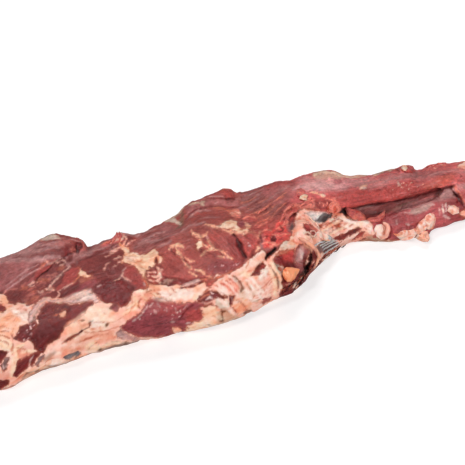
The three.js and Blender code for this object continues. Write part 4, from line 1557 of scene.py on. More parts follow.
patch("rose", FAT_COLUMN, 0.8)
tint("rose", COLUMN_BLUSH, 0.6, 2)
tint("peach", COLUMN_PEACH, 0.6, 2)
veins("salmon", 1.6, COLUMN_FOLDS, -0.5, 0.7)
patch("red", INNER_STRIP, -1.0)
veins("maroon", 1.8, STRIP_DARKS, -0.6, 0.7)
tint("steel", STRIP_STEEL, 0.7, 1)
veins("salmon", 2.2, STRIP_RIM, 0.6, 0.8)
patch("red", RED_HOLLOW, -1.0)
tint("salmon", HOLLOW_GLOW, 0.7, 1)
streaks("maroon", 1.6, HOLLOW_DARKS, -0.8)
streaks("bone", 1.4, HOLLOW_PALES, 0.4)
tell("sinews and hollows of the knot")

# %% The grey sheet and the cords
GREY_SHEET = [
    (305, 214), (310, 211), (318, 212), (326, 213), (332, 214), (330, 219), (325, 223), (318, 223),
    (313, 220),
]
SHEET_HOLLOW = [(316, 221), (319, 216), (325, 213), (332, 214), (333, 217), (328, 222), (321, 223)]
SINEW_BUNDLE = [
    (315, 250), (319, 243), (326, 239), (334, 241), (338, 243), (335, 248), (328, 251), (320, 254),
]
RUST_FLAKE = [(327, 251), (333, 248), (338, 247), (335, 251), (330, 254)]
ROSE_TISSUE = [(309, 240), (314, 238), (318, 241), (318, 247), (313, 247)]
SHEET_LIGHT = [(304, 214), (312, 211), (322, 213), (317, 218), (308, 219)]
SHEET_HOLE = [(320, 221), (323, 216), (330, 215), (329, 220), (323, 222)]
SHEET_FOOT = [(318, 226), (323, 223), (328, 225), (326, 230), (320, 231)]
SHEET_FOOT_SHADE = [(319, 227), (324, 224), (326, 228), (321, 230)]
BUNDLE_SHADE = [(328, 246), (336, 238), (346, 235), (352, 240), (344, 247), (334, 251)]
patch("pearl", GREY_SHEET, 0.2)
tint("pearl", GREY_SHEET, 0.8)
tint("white", SHEET_LIGHT, 0.5, 1)
glints_and_specks("white", GREY_SHEET, 0.5, 0.0022, seed=64)
patch("steel", SHEET_HOLLOW, -1.8)
# The black in the hole of the sheet is painted shade.
tint("black", SHEET_HOLE, 0.85, 1.5)
patch("rust", SHEET_FOOT, -0.8, 2, 0.9)
tint("maroon", SHEET_FOOT_SHADE, 0.7, 1.5)
patch("rose", ROSE_TISSUE, 0.1, strength=0.8)
patch("ash", SINEW_BUNDLE, -0.4)
tint("umber", BUNDLE_SHADE, 0.45, 1.5)
tint("umber", SINEW_BUNDLE, 0.5)
patch("rust", RUST_FLAKE, 0.4)
tell("grey sheet and the cords")

# %% The strap of fat that crosses to the tail
STRAP = [
    (320, 229), (324, 222), (330, 218), (336, 214), (342, 216), (350, 219), (358, 220), (366, 222),
    (373, 226), (374, 232), (368, 236), (362, 236), (354, 240), (348, 244), (340, 242), (332, 239),
    (326, 235),
]
STRAP_BROWNS = [
    [(325, 231), (333, 227), (341, 224)], [(321, 227), (327, 223), (333, 221)],
    [(329, 234), (337, 229), (344, 226)], [(326, 227), (334, 222)], [(344, 229), (352, 225)],
]
STRAP_PALES = [
    [(338, 217), (348, 221), (358, 225)], [(350, 218), (362, 221), (372, 227)], [(330, 221), (338, 219)],
    [(342, 225), (350, 229)], [(364, 225), (370, 230), (370, 234)],
]
STRAP_BANDS = [
    [(323, 231), (332, 225), (342, 219)], [(330, 235), (340, 229), (350, 223)], [(327, 221), (334, 217)],
]
STRAP_DARK = [
    (332, 239), (340, 235), (350, 230), (358, 227), (363, 228), (357, 232), (348, 237), (340, 241),
]
STRAP_DARK_LOW = [(345, 245), (354, 237), (360, 232), (365, 232), (362, 237), (355, 242)]
STRAP_LINE = [(342, 243), (350, 238), (358, 233), (364, 230)]
STRAP_PINK = [(340, 248), (350, 242), (360, 238), (369, 235)]
STRAP_CREAM = [(346, 218), (358, 220), (368, 224), (360, 229), (350, 226)]
STRAP_RUST = [[(332, 221), (337, 219), (343, 221)], [(334, 217), (338, 215)]]
STRAP_BLUSH = [(324, 231), (336, 224), (350, 222), (346, 231), (332, 236)]
patch("rose", STRAP, 0.4)
tint("cream", STRAP_CREAM, 0.6, 2)
streaks("rust", 1.6, STRAP_RUST, -0.5, strength=0.8)
tint("salmon", STRAP_BLUSH, 0.5, 3)
veins("rust", 2.8, STRAP_BROWNS, -0.4, 0.85)
veins("maroon", 1.2, STRAP_BROWNS[:3], -0.2, 0.5)
veins("cream", 2.2, STRAP_BANDS, 0.6, 0.85)
streaks("white", 2.0, STRAP_PALES, 0.6)
patch("maroon", STRAP_DARK, -0.7)
patch("red", STRAP_DARK_LOW, -0.5)
streak("pink", 1.6, STRAP_LINE, 0.4)
streak("pink", 2.4, STRAP_PINK, 0.5)
# Painted glints on the dark part of the strap.
glints_and_specks("lilac", STRAP_DARK, 0.2, seed=56)
tell("strap of fat that crosses to the tail")

# %% [markdown]
# The tail is two strands side by side. The upper one is rounded and wet, the lower one is the loose side
# strand that butchers trim off. A dark channel parts them, and a red flap folds over both at the right.

# %% The tail
TAIL_SHEEN = [
    (292, 189), (300, 184), (312, 181), (330, 182), (350, 185), (346, 190), (328, 191), (308, 191),
]
TAIL_TOP = [(296, 181), (306, 176), (330, 178), (352, 179), (372, 179), (366, 184), (344, 184), (320, 181)]
TAIL_RED = [
    (318, 200), (334, 194), (356, 190), (378, 187), (394, 186), (396, 198), (376, 203), (352, 207),
    (340, 207),
]
TAIL_STREAK = [(326, 199), (338, 194), (352, 192), (367, 190)]
WET_OVAL = [
    (384, 193), (392, 186), (400, 182), (412, 180), (424, 183), (427, 190), (416, 194), (404, 198),
    (394, 199),
]
WARM_SHOULDER = [(422, 186), (434, 179), (448, 173), (456, 174), (452, 182), (442, 188), (428, 193)]
END_SHEEN = [
    (350, 184), (370, 182), (388, 175), (404, 173), (424, 173), (446, 170), (480, 166), (480, 176),
    (450, 174), (424, 179), (400, 180), (382, 188), (362, 189),
]
LOWER_EDGE = [
    (341, 206), (356, 206), (372, 202), (390, 199), (404, 198), (420, 194), (436, 190), (450, 184),
]
PURPLE_BLOT = [(332, 181), (336, 177), (342, 178), (343, 183), (336, 185)]
TAIL_LIGHT = [(306, 182), (322, 179), (346, 183), (330, 187), (312, 187)]
# The pale pink tints on the top of the tail are painted sheen.
tint("satin", TAIL_TOP, 0.7, 3)
tint("satin", TAIL_SHEEN, 0.95, 3)
tint("lilac", TAIL_LIGHT, 0.25, 3)
patch("red", TAIL_RED, 0.4, strength=0.8, soft=3)
tint("mauve", END_SHEEN, 0.5, 3)
patch("red", WET_OVAL, 0.5, strength=0.85, soft=2)
patch("red", WARM_SHOULDER, 0.3, strength=0.75, soft=3)
tint("rust", WARM_SHOULDER, 0.3, 3)
streak("red", 2.8, TAIL_STREAK, 0.3, strength=0.6)
streak("red", 3.0, LOWER_EDGE, 0.4)
patch("plum", PURPLE_BLOT, -0.3, strength=0.7)
tell("tail")

# %% Fibres and fat of the tail
CONTOUR_FAT = [
    (312, 175), (320, 171), (326, 174), (334, 171), (340, 173), (348, 177), (338, 179), (328, 178),
    (318, 179),
]
CONTOUR_STRANDS = [
    [(346, 176), (356, 177), (366, 175)], [(372, 177), (379, 172), (388, 169)], [(386, 170), (394, 168)],
]
PALE_FLECKS = [[(360, 189), (363, 187), (367, 188)], [(322, 194), (326, 196)], [(398, 182), (400, 185)]]
PEACH_STROKES = [[(311, 192), (317, 193), (325, 196)], [(361, 186), (366, 185)]]
TAIL_FIBRES = [
    [(300, 186), (316, 183), (334, 185)], [(346, 187), (364, 184), (380, 180)],
    [(376, 186), (392, 178), (410, 174)], [(384, 182), (400, 177), (418, 175)], [(350, 181), (368, 180)],
    [(424, 177), (440, 172), (456, 170)], [(400, 174), (420, 172)], [(310, 188), (326, 189)],
    [(430, 184), (442, 180)],
]
TAIL_DARKS = [
    [(332, 191), (344, 188), (356, 187)], [(340, 201), (352, 198), (366, 197)], [(298, 193), (308, 197)],
    [(376, 191), (386, 187)], [(440, 176), (452, 172)], [(350, 203), (366, 200)],
]
TORN_EDGE = [(422, 170), (429, 165), (434, 166), (440, 163), (447, 163), (446, 168), (436, 169), (430, 170)]
END_FAT = [(457, 168), (460, 163), (470, 160), (480, 160), (480, 168), (466, 168)]
CONTOUR_CREAM = [[(314, 175), (322, 172), (332, 173)], [(334, 172), (341, 175), (347, 177)]]
tint("tallow", CONTOUR_FAT, 0.6, 1.5)
veins("cream", 1.8, CONTOUR_CREAM, 0.3, 0.8)
veins("tallow", 2.6, CONTOUR_STRANDS, 0.3, 0.8)
streaks("mauve", 1.4, TAIL_FIBRES, 0.25, strength=0.6)
streaks("maroon", 1.5, TAIL_DARKS, -0.4, strength=0.5)
veins("bone", 1.8, PALE_FLECKS, 0.3, 0.6)
veins("peach", 2.0, PEACH_STROKES, 0.3, 0.7)
# Painted glints on the wet oval.
glints_and_specks("rose", WET_OVAL, 0.22, 0.0012, seed=67)
moisten(WET_OVAL, 0.9)
moisten(TAIL_RED, 0.7)
patch("rosy", TORN_EDGE, 0.5, strength=0.8)
# Painted highlights on the torn edge.
glints_and_specks("salmon", TORN_EDGE, 0.6, seed=57)
glints_and_specks("rose", TORN_EDGE, 0.3, seed=58)
patch("rose", END_FAT, 0.3)
tell("fibres and fat of the tail")

# %% The torn red flesh at its start
TORN_START = [
    (284, 214), (292, 208), (300, 204), (308, 200), (314, 198), (322, 198), (334, 199), (340, 204),
    (341, 209), (338, 213), (330, 214), (318, 211), (306, 209), (296, 211), (288, 216),
]
TORN_RIMS = [
    [(284, 214), (292, 207), (301, 203), (309, 199)], [(326, 199), (334, 200), (340, 205), (339, 211)],
    [(302, 208), (310, 206), (320, 210)],
]
START_BROWN = [(311, 208), (314, 200), (326, 199), (330, 204), (324, 210)]
START_LINES = [
    [(298, 208), (306, 203), (314, 200)], [(312, 198), (314, 204), (313, 209)], [(320, 202), (327, 206)],
    [(306, 206), (312, 208)],
]
START_CREASE = [(297, 203), (303, 203), (309, 201)]
patch("red", TORN_START, 0.5, strength=0.9)
veins("salmon", 2.6, TORN_RIMS, 0.4, 0.7)
patch("brown", START_BROWN, 0.1, strength=0.55, soft=2)
streaks("salmon", 1.4, START_LINES, 0.5, strength=0.7)
glints_and_specks("salmon", TORN_START, 0.35, seed=66)
streak("maroon", 1.6, START_CREASE, -0.5, strength=0.7)
tell("torn red flesh at its start")

# %% The channel and the side strand
CHANNEL = [
    (346, 209), (360, 207), (372, 204), (390, 201), (404, 199), (418, 195), (432, 191), (446, 186),
    (454, 184), (455, 189), (440, 194), (424, 198), (408, 204), (394, 209), (384, 214), (372, 215),
    (362, 212),
]
CHANNEL_SHADE = [
    (342, 208), (358, 208), (376, 205), (394, 202), (410, 198), (426, 194), (442, 189), (454, 186),
]
CHANNEL_GLINT = [(359, 209), (366, 207), (372, 207)]
CHANNEL_END_SHEEN = [(437, 194), (446, 190), (454, 187), (458, 193), (450, 197), (440, 198)]
BLACK_GAP = [(338, 213), (341, 208), (346, 206), (349, 212), (346, 215), (341, 214)]
STRAND_TOP = [
    (390, 211), (404, 205), (418, 201), (432, 197), (448, 193), (462, 195), (452, 199), (438, 201),
    (424, 205), (410, 209), (398, 213),
]
TAN_LINE = [(386, 213), (396, 208), (408, 203), (416, 201)]
STRAND_FILM = [
    (409, 214), (413, 209), (419, 207), (426, 204), (431, 202), (431, 206), (428, 210), (422, 211),
    (416, 215),
]
FILM_LOOP = [[(401, 210), (407, 208), (414, 210)], [(404, 213), (412, 213)]]
STRAND_RED = [(372, 222), (384, 214), (396, 211), (408, 213), (404, 220), (388, 222)]
CHANNEL_FILM = [(356, 211), (366, 207), (380, 206), (374, 213), (364, 213)]
tint("maroon", STRAND_RED, 0.35, 3)
patch("brown", CHANNEL, -0.9)
tint("satin", CHANNEL, 0.12)
tint("mauve", CHANNEL_FILM, 0.25, 2)
streak("maroon", 2.8, CHANNEL_SHADE, -1.2, 1.2, 0.8)
streak("black", 1.0, CHANNEL_SHADE[:5], -0.3, strength=0.5)
streak("lilac", 1.4, CHANNEL_GLINT, 0.2, strength=0.4)
# The mauve at the end of the channel and along the top of the side strand is painted sheen.
patch("mauve", CHANNEL_END_SHEEN, 1.4, soft=2)
tint("mauve", STRAND_TOP, 0.75, 2)
streak("olive", 1.6, TAN_LINE, strength=0.7)
tint("mauve", STRAND_FILM, 0.9, 1.5)
tint("bone", STRAND_FILM, 0.3, 1.5)
streaks("mauve", 1.4, FILM_LOOP, 0.2, strength=0.8)
# The black in the gap is painted shade.
patch("black", BLACK_GAP, -1.8)
tell("channel and the side strand")

# %% The end of the side strand
GLINTS = [
    [(396, 220), (397, 224)], [(407, 224), (409, 225)], [(442, 205), (443, 213)], [(446, 203), (446, 211)],
    [(449, 206), (452, 214)], [(431, 205), (434, 204)], [(439, 209), (440, 215)], [(444, 216), (449, 218)],
]
STRAND_FEET = [(352, 246), (372, 236), (380, 239), (394, 240), (410, 240), (412, 248), (380, 250)]
ROLL_SHADE = [(390, 224), (392, 230), (390, 237), (384, 241)]
PEACH_DROP = [(459, 214), (464, 210), (480, 210), (480, 218), (464, 217)]
END_RED = [(448, 200), (462, 199), (480, 204), (480, 222), (462, 220), (450, 222), (444, 214)]
RIGHT_FLAP = [
    (451, 185), (455, 181), (462, 180), (480, 178), (480, 208), (465, 205), (461, 198), (456, 191),
]
FLAP_LIT_EDGE = [(453, 186), (458, 191), (462, 197), (465, 204)]
FLAP_SHADE = [(450, 188), (455, 194), (460, 201), (464, 208)]
STRAND_SPARKLE = [(380, 216), (420, 212), (440, 214), (430, 226), (394, 228)]
FLAP_FILM = [(454, 184), (480, 179), (480, 188), (460, 190)]
patch("tallow", STRAND_FEET, 0.1, strength=0.7)
tint("olive", STRAND_FEET, 0.5)
patch("maroon", END_RED, 0.1, strength=0.5, soft=3)
# Painted glints on the red end; the maroon specks after them are spots of tissue.
glints_and_specks("satin", END_RED, 0.3, seed=68)
glints_and_specks("maroon", END_RED, 0.4, 0.003, seed=59)
moisten(SIDE_STRAND, 0.85)
veins("lilac", 2.6, GLINTS, 0.1, 0.7)
veins("white", 0.8, GLINTS[2:5], 0.1, 0.5)
glints_and_specks("lilac", STRAND_SPARKLE, 0.12, seed=63)
streak("maroon", 2.2, ROLL_SHADE, -0.6)
patch("rose", PEACH_DROP, 0.5)
streak("maroon", 2.8, FLAP_SHADE, -1.0)
streak("black", 1.0, FLAP_SHADE, -0.3, strength=0.6)
patch("rosy", RIGHT_FLAP, 1.4)
tint("mauve", FLAP_FILM, 0.6, 2)
# The salmon edge of the flap is a painted highlight on its lit rim.
streak("salmon", 2.2, FLAP_LIT_EDGE, 0.3)
tell("end of the side strand")

# %% [markdown]
# The marks hold only where the camera sees. Elsewhere the hidden pattern takes over, with a soft change.

# %% Join both patterns
blend = seen[:, None]
flesh = flesh_hidden + blend * (flesh - flesh_hidden)
tallow = tallow_hidden + blend * (tallow - tallow_hidden)
fatness = fat_hidden + seen * (fatness - fat_hidden)
fatness += 0.55 * patches(place, 0.0028, 9) + 0.35 * patches(place, 0.0013, 10)
lift *= seen
fatty = ramp(-0.3, 0.6, fatness)
print("fat on", round(float(fatty.mean()), 2), "of the whole skin")

# %% [markdown]
# Muscle is a bundle of fibres, and its grain turns with the muscle. The slope of the grain was read at
# some places of the picture and is blended between them. Noise is then averaged along the grain at each
# vertex, which draws it out into fibres, as a brush would.

# %% The grain of the muscles
GRAIN_SLOPES = [
    ((20, 258), 0.38), ((20, 292), 0.90), ((60, 242), 0.30), ((56, 272), 0.90), ((84, 256), 0.50),
    ((110, 250), 0.45), ((104, 292), 0.50), ((24, 352), 0.95), ((48, 320), 0.90), ((88, 340), 0.45),
    ((118, 335), 0.30), ((140, 243), 0.45), ((164, 234), 0.45), ((186, 222), 0.90), ((168, 262), -0.80),
    ((200, 246), -1.20), ((220, 244), -1.00), ((240, 246), -1.30), ((215, 268), 0.15), ((160, 318), 0.15),
    ((196, 314), 0.40), ((210, 204), 0.15), ((236, 213), 0.10), ((258, 200), 0.75), ((278, 208), 0.85),
    ((272, 236), 0.60), ((290, 258), -0.60), ((306, 260), -1.40), ((300, 286), 0.80), ((326, 258), 0.65),
    ((318, 204), 0.10), ((320, 188), 0.10), ((350, 194), 0.15), ((388, 184), 0.25), ((420, 180), 0.28),
    ((452, 172), 0.30), ((400, 206), 0.25), ((430, 204), 0.28), ((404, 222), 0.35), ((444, 212), 0.30),
    ((462, 192), -0.60),
]
weight_sum = np.zeros(count)
turn = np.zeros(count)
for (u, v), slope in GRAIN_SLOPES:
    weight = 1 / ((pixel[:, 0] - u) ** 2 + (pixel[:, 1] - v) ** 2 + 40) ** 1.6
    weight_sum += weight
    turn += weight * np.arctan(slope)
turn = seen * turn / weight_sum + 0.06 * patches(place, 0.02, 20)
flat_way = np.cos(turn)[:, None] * SIDE + np.sin(turn)[:, None] * UPWARD
front = outward @ BACKWARD
tilt = (flat_way * outward).sum(1) / np.maximum(np.abs(front), 0.35) * np.sign(front)
along = flat_way - np.clip(tilt, -2.5, 2.5)[:, None] * BACKWARD
along = along * seen[:, None] + np.array((1.0, 0.05, 0.0)) * (1 - seen[:, None])
along -= (along * outward).sum(1)[:, None] * outward
along /= np.linalg.norm(along, axis=1)[:, None] + 1e-9


def grain(size, length, seed):
    """Noise drawn out along the grain of the muscle."""
    steps = np.linspace(-1, 1, 11)
    return sum(patches(place + along * (step * length), size, seed) for step in steps) / len(steps) ** 0.5


fine = grain(0.0010, 0.0042, 21)
coarse = grain(0.0028, 0.0100, 22)
print("grain runs from", round(float(fine.min()), 2), "to", round(float(fine.max()), 2))

# %% [markdown]
# Now the skin moves. Fat is lumpy and creased, muscle has ridges along its grain, and nothing goes below
# the floor. The marks rise straight towards the camera, so that each stays at its place in the picture.
# The creases are kept, because they get painted shade later.

# %% Move the skin
MM = 0.001  # a millimetre in metres
FLOW = (0.5, 1, 1)  # fat is drawn out along the cut
wrinkles = folds(place * FLOW, 0.0055, 0.10, 31) * ramp(-0.2, 0.4, patches(place, 0.012, 35))
small_folds = folds(place * FLOW, 0.0030, 0.14, 36) * ramp(0.0, 0.5, patches(place, 0.010, 39))
lumps = 0.8 * patches(place * FLOW, 0.0075, 24) + patches(place * FLOW, 0.0042, 25)
lumps += 0.5 * patches(place, 0.0021, 26)
slips = folds(place * (0.35, 1, 1), 0.008, 0.06, 45) * (1 - fatty)
fat_move = 0.35 + 0.55 * lumps - 0.40 * wrinkles - 0.30 * small_folds
pits = 0.22 * patches(place, 0.0030, 28) + 0.16 * patches(place, 0.0017, 29)
flesh_move = 0.15 * fine + 0.14 * coarse - 0.30 * slips + pits
move = fatty * fat_move + (1 - fatty) * flesh_move + 0.35 * patches(place, 0.011, 27)
free = MM * ramp(0.0008, 0.0030, place[:, 2])
moved = place + outward * (move * free)[:, None] + to_eye * (lift * free)[:, None]
moved[:, 2] = np.maximum(moved[:, 2], 0)
print("the skin moved by", round(float(move.min()), 2), "to", round(float(move.max()), 2), "mm")

# %% [markdown]
# Hollows get painted shade, darker and redder, and ridges get painted highlights, paler. To find both, each
# vertex is compared with the mean of its surroundings: if that mean lies further out than the vertex, the
# vertex is in a hollow.

# %% Find hollows and ridges
def hollowness(rounds):
    """How many millimetres a vertex lies below the mean of its surroundings."""
    mean = np.stack([averaged(moved[:, axis], rounds) for axis in range(3)], 1)
    return ((mean - moved) * outward).sum(1) * 1000


near_hollow = hollowness(5)
wide_hollow = hollowness(30)
wide_hollow = wide_hollow - averaged(wide_hollow, 40) * 0.5
print("hollows reach", round(float(wide_hollow.max()), 2), "mm")

# %% [markdown]
# The colours get their life here: fibres, blotches, pale films with a painted sheen on upward faces, pink and
# white spots in the fat, painted shade in hollows and creases, and painted highlights on ridges.

# %% Vary the colours
blood = patches(place, 0.010, 51) + 0.6 * patches(place, 0.0045, 52)
# The film is mauve silverskin, laid only on upward faces, so it is also a painted sheen.
film_and_sheen = ramp(0.15, 0.75, 0.8 * fine + 0.5 * coarse) * ramp(-0.4, 0.6, patches(place, 0.009, 53))
film_and_sheen *= ramp(0.3, 0.8, outward[:, 2]) * ramp(0.20, 0.34, flesh[:, 0])
mottle = 0.13 * patches(place, 0.0024, 57) + 0.12 * patches(place, 0.0013, 58)
flesh = flesh * (1 + 0.20 * blood + 0.11 * fine + 0.07 * coarse + mottle)[:, None]
flesh += (0.22 * film_and_sheen)[:, None] * (colour_of("mauve") - flesh)
flesh += (0.10 * ramp(0.3, 0.9, -coarse))[:, None] * (colour_of("maroon") - flesh)
near_fat = 0.45 * ramp(-1.8, 0.1, fatness) * ramp(0.02, 0.12, flesh[:, 0] - flesh[:, 1]) * seen
flesh += near_fat[:, None] * (colour_of("rust") - flesh)
# Painted shade darkens the hollows of the flesh, and painted highlights lighten its ridges.
flesh *= (1 - 0.28 * ramp(0.05, 0.8, wide_hollow) - 0.14 * ramp(0.04, 0.3, near_hollow))[:, None]
flesh *= (1 + 0.25 * ramp(0.05, 0.35, -near_hollow) * (1 - 0.5 * fatty))[:, None]

spots = patches(place * FLOW, 0.0038, 54) + 0.7 * patches(place * FLOW, 0.0019, 55)
tallow += (0.5 * ramp(0.05, 0.8, spots))[:, None] * (colour_of("white") - tallow)
# Painted highlights whiten the ridges of the fat.
tallow += (0.2 * ramp(0.02, 0.25, -near_hollow))[:, None] * (colour_of("white") - tallow)
tallow *= mixed((1, 1, 1), (0.97, 0.72, 0.64), ramp(0.0, 0.9, -spots))
# The creases of the fat get painted shade, rusty and pink.
tallow += (0.20 * wrinkles)[:, None] * (colour_of("rust") - tallow)
tallow += (0.20 * small_folds)[:, None] * (colour_of("pink") - tallow)
# Painted shade darkens and reddens the hollows of the fat.
painted_hollow_shade = 0.8 * ramp(0.05, 0.6, wide_hollow) + 0.6 * ramp(0.02, 0.20, near_hollow)
tallow *= mixed((1, 1, 1), (0.80, 0.52, 0.42), painted_hollow_shade)
tallow = np.clip(tallow, 0, 0.97)
flesh[:, 1:] *= (0.82 + 0.18 * ramp(0.15, 0.45, flesh[:, 0]))[:, None]
flesh = np.clip(flesh, 0.004, 0.9)
print("mean flesh", flesh.mean(0).round(3), "mean fat", tallow.mean(0).round(3))

# %% Write the skin back
RISING, LEVEL, FALLING = 0.45, -0.05, -1.40  # the three grain directions of the material, in radians


def keep_colour(mesh, name, values):
    """Stores a colour for each vertex."""
    layer = mesh.attributes.new(name, "FLOAT_COLOR", "POINT")
    rows = np.ones((len(values), 4))
    rows[:, :3] = values
    layer.data.foreach_set("color", rows.ravel())


def keep_value(mesh, name, values):
    """Stores a number for each vertex."""
    layer = mesh.attributes.new(name, "FLOAT", "POINT")
    layer.data.foreach_set("value", values)


mesh = meat.data
mesh.vertices.foreach_set("co", moved.ravel())
mesh.update()
rising = ramp(0.25, 0.60, turn)
falling = ramp(0.10, 0.60, -turn)
keep_colour(mesh, "flesh_colour", flesh)
keep_colour(mesh, "fat_colour", tallow)
keep_colour(mesh, "grain_shares", np.stack([rising, 1 - rising - falling, falling], 1))
keep_value(mesh, "fatness", fatness)
keep_value(mesh, "wetness", wet + 0.25 * patches(place, 0.006, 56))
only(meat)
bpy.ops.object.shade_smooth()
print("stored", [a.name for a in mesh.attributes if not a.name.startswith(".")])

# %% [markdown]
# One material serves the whole skin. It reads the stored colours and decides between flesh and fat by
# the stored distance plus a fine noise, which makes the edge crisp and ragged. Flesh gets fibres from
# stretched noise, and fat gets small lumps. Both are wet, so a thin clear coat lies on top.

# %% The raw meat material
def node(material, kind, **values):
    """Adds a node and sets its sockets and settings by name."""
    made = material.node_tree.nodes.new(kind)
    for name, value in values.items():
        if name in made.inputs:
            made.inputs[name].default_value = value
        else:
            setattr(made, name, value)
    return made


def wire(material, source, target):
    """Joins an output socket to an input socket."""
    material.node_tree.links.new(source, target)


def stretch(material, source, low, high):
    """Turns the middle range of a noise into a range of one's own."""
    made = node(material, "ShaderNodeMapRange")
    made.inputs["From Min"].default_value = 0.32
    made.inputs["From Max"].default_value = 0.68
    made.inputs["To Min"].default_value = low
    made.inputs["To Max"].default_value = high
    wire(material, source, made.inputs["Value"])
    return made.outputs["Result"]


raw = bpy.data.materials.new("raw_meat_and_fat")
raw.use_nodes = True
shader = raw.node_tree.nodes["Principled BSDF"]
shader.inputs["Specular IOR Level"].default_value = 0.25
shader.inputs["Coat Weight"].default_value = 0.34
shader.inputs["Coat Roughness"].default_value = 0.10
shader.inputs["Subsurface Radius"].default_value = (1.0, 0.35, 0.2)
shader.inputs["Subsurface Scale"].default_value = 0.0014
shader.inputs["Subsurface Weight"].default_value = 0.22

where = node(raw, "ShaderNodeTexCoord")
flesh_read = node(raw, "ShaderNodeAttribute", attribute_name="flesh_colour")
fat_read = node(raw, "ShaderNodeAttribute", attribute_name="fat_colour")
fatness_read = node(raw, "ShaderNodeAttribute", attribute_name="fatness")
shares_read = node(raw, "ShaderNodeAttribute", attribute_name="grain_shares")
print("nodes so far:", len(raw.node_tree.nodes))


def speckles(scale, detail, roughness):
    """Fine noise on the places of the meat."""
    made = node(raw, "ShaderNodeTexNoise", Scale=scale, Detail=detail, Roughness=roughness)
    wire(raw, where.outputs["Object"], made.inputs["Vector"])
    return made.outputs["Fac"]


# %% Fibres of the flesh
FIBRE_LENGTH = 0.0042
FIBRE_WIDTH = 0.0008


def fibres(way):
    """Noise drawn out along one direction over the table."""
    turned = node(raw, "ShaderNodeMapping", vector_type="TEXTURE", Rotation=(0, 0, way),
                  Scale=(FIBRE_LENGTH, FIBRE_WIDTH, FIBRE_WIDTH))
    wire(raw, where.outputs["Object"], turned.inputs["Vector"])
    speckle = node(raw, "ShaderNodeTexNoise", Scale=1.0, Detail=4.0, Roughness=0.65)
    wire(raw, turned.outputs["Vector"], speckle.inputs["Vector"])
    return speckle.outputs["Fac"]


grain_sum = node(raw, "ShaderNodeVectorMath", operation="DOT_PRODUCT")
three_ways = node(raw, "ShaderNodeCombineXYZ")
for socket, way in zip(three_ways.inputs, (RISING, LEVEL, FALLING)):
    wire(raw, fibres(way), socket)
wire(raw, three_ways.outputs["Vector"], grain_sum.inputs[0])
wire(raw, shares_read.outputs["Vector"], grain_sum.inputs[1])
fibre = grain_sum.outputs["Value"]
flesh_tone = node(raw, "ShaderNodeVectorMath", operation="SCALE")
wire(raw, flesh_read.outputs["Color"], flesh_tone.inputs[0])
pebbles = speckles(640.0, 3.0, 0.6)
texture = node(raw, "ShaderNodeMix", data_type="FLOAT")
texture.inputs["Factor"].default_value = 0.5
wire(raw, fibre, texture.inputs[2])
wire(raw, pebbles, texture.inputs[3])
wire(raw, stretch(raw, texture.outputs[0], 0.68, 1.36), flesh_tone.inputs["Scale"])
print("nodes so far:", len(raw.node_tree.nodes))

# %% Lumps of the fat
fat_grain = speckles(520.0, 5.0, 0.62)
fat_blush = speckles(420.0, 4.0, 0.6)
fat_tints = node(raw, "ShaderNodeMix", data_type="RGBA")
fat_tints.inputs[6].default_value = (0.96, 0.82, 0.76, 1)
fat_tints.inputs[7].default_value = (1.03, 1.07, 1.09, 1)
wire(raw, stretch(raw, fat_blush, 0.0, 1.0), fat_tints.inputs["Factor"])
fat_tone = node(raw, "ShaderNodeVectorMath", operation="MULTIPLY")
wire(raw, fat_read.outputs["Color"], fat_tone.inputs[0])
wire(raw, fat_tints.outputs[2], fat_tone.inputs[1])
print("nodes so far:", len(raw.node_tree.nodes))

# %% The edge between flesh and fat
ragged = speckles(700.0, 4.0, 0.7)
edge = node(raw, "ShaderNodeMath", operation="ADD")
wire(raw, fatness_read.outputs["Fac"], edge.inputs[0])
wire(raw, stretch(raw, ragged, -0.45, 0.45), edge.inputs[1])
is_fat = node(raw, "ShaderNodeMapRange", interpolation_type="SMOOTHSTEP")
is_fat.inputs["From Min"].default_value = -0.42
is_fat.inputs["From Max"].default_value = 0.42
wire(raw, edge.outputs["Value"], is_fat.inputs["Value"])
colour = node(raw, "ShaderNodeMix", data_type="RGBA")
wire(raw, is_fat.outputs["Result"], colour.inputs["Factor"])
wire(raw, flesh_tone.outputs["Vector"], colour.inputs[6])
wire(raw, fat_tone.outputs["Vector"], colour.inputs[7])
wire(raw, colour.outputs[2], shader.inputs["Base Color"])
print("nodes so far:", len(raw.node_tree.nodes))

# %% Wet shine and fine relief
wetness_read = node(raw, "ShaderNodeAttribute", attribute_name="wetness")
drying = node(raw, "ShaderNodeMapRange")
drying.inputs["To Min"].default_value = 0.62
drying.inputs["To Max"].default_value = 0.17
wire(raw, wetness_read.outputs["Fac"], drying.inputs["Value"])
wire(raw, drying.outputs["Result"], shader.inputs["Roughness"])
fat_height = stretch(raw, fat_grain, 0.40, 0.60)
height = node(raw, "ShaderNodeMix", data_type="FLOAT")
wire(raw, is_fat.outputs["Result"], height.inputs["Factor"])
wire(raw, texture.outputs[0], height.inputs[2])
wire(raw, fat_height, height.inputs[3])
relief = node(raw, "ShaderNodeBump", Strength=1.0, Distance=0.0016)
wire(raw, height.outputs[0], relief.inputs["Height"])
wire(raw, relief.outputs["Normal"], shader.inputs["Normal"])
juice = node(raw, "ShaderNodeBump", Strength=1.0, Distance=0.0008)
wire(raw, height.outputs[0], juice.inputs["Height"])
wire(raw, juice.outputs["Normal"], shader.inputs["Coat Normal"])
meat.data.materials.append(raw)
print("nodes in the material:", len(raw.node_tree.nodes))

# %% Put the skin in the frame
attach(meat, "root")
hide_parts("tenderloin")
print(meat.name, "rides on the root in place of the solid")

# %% [markdown]
# Some things stand clear of the skin: nubs and rolls of fat, torn flaps, cords of sinew and a fringe of
# shreds. Each is a piece of its own. Torn tissue has no straight edge, so each lump starts as a ball
# that is pulled to an outline, as in sculpting, and is laid on the skin. Its underside sinks in.

# %% Places on the skin
skin_tree = BVHTree.FromPolygons([v.co for v in mesh.vertices], [p.vertices for p in mesh.polygons])
FOCAL = PICTURE * LENS / SENSOR


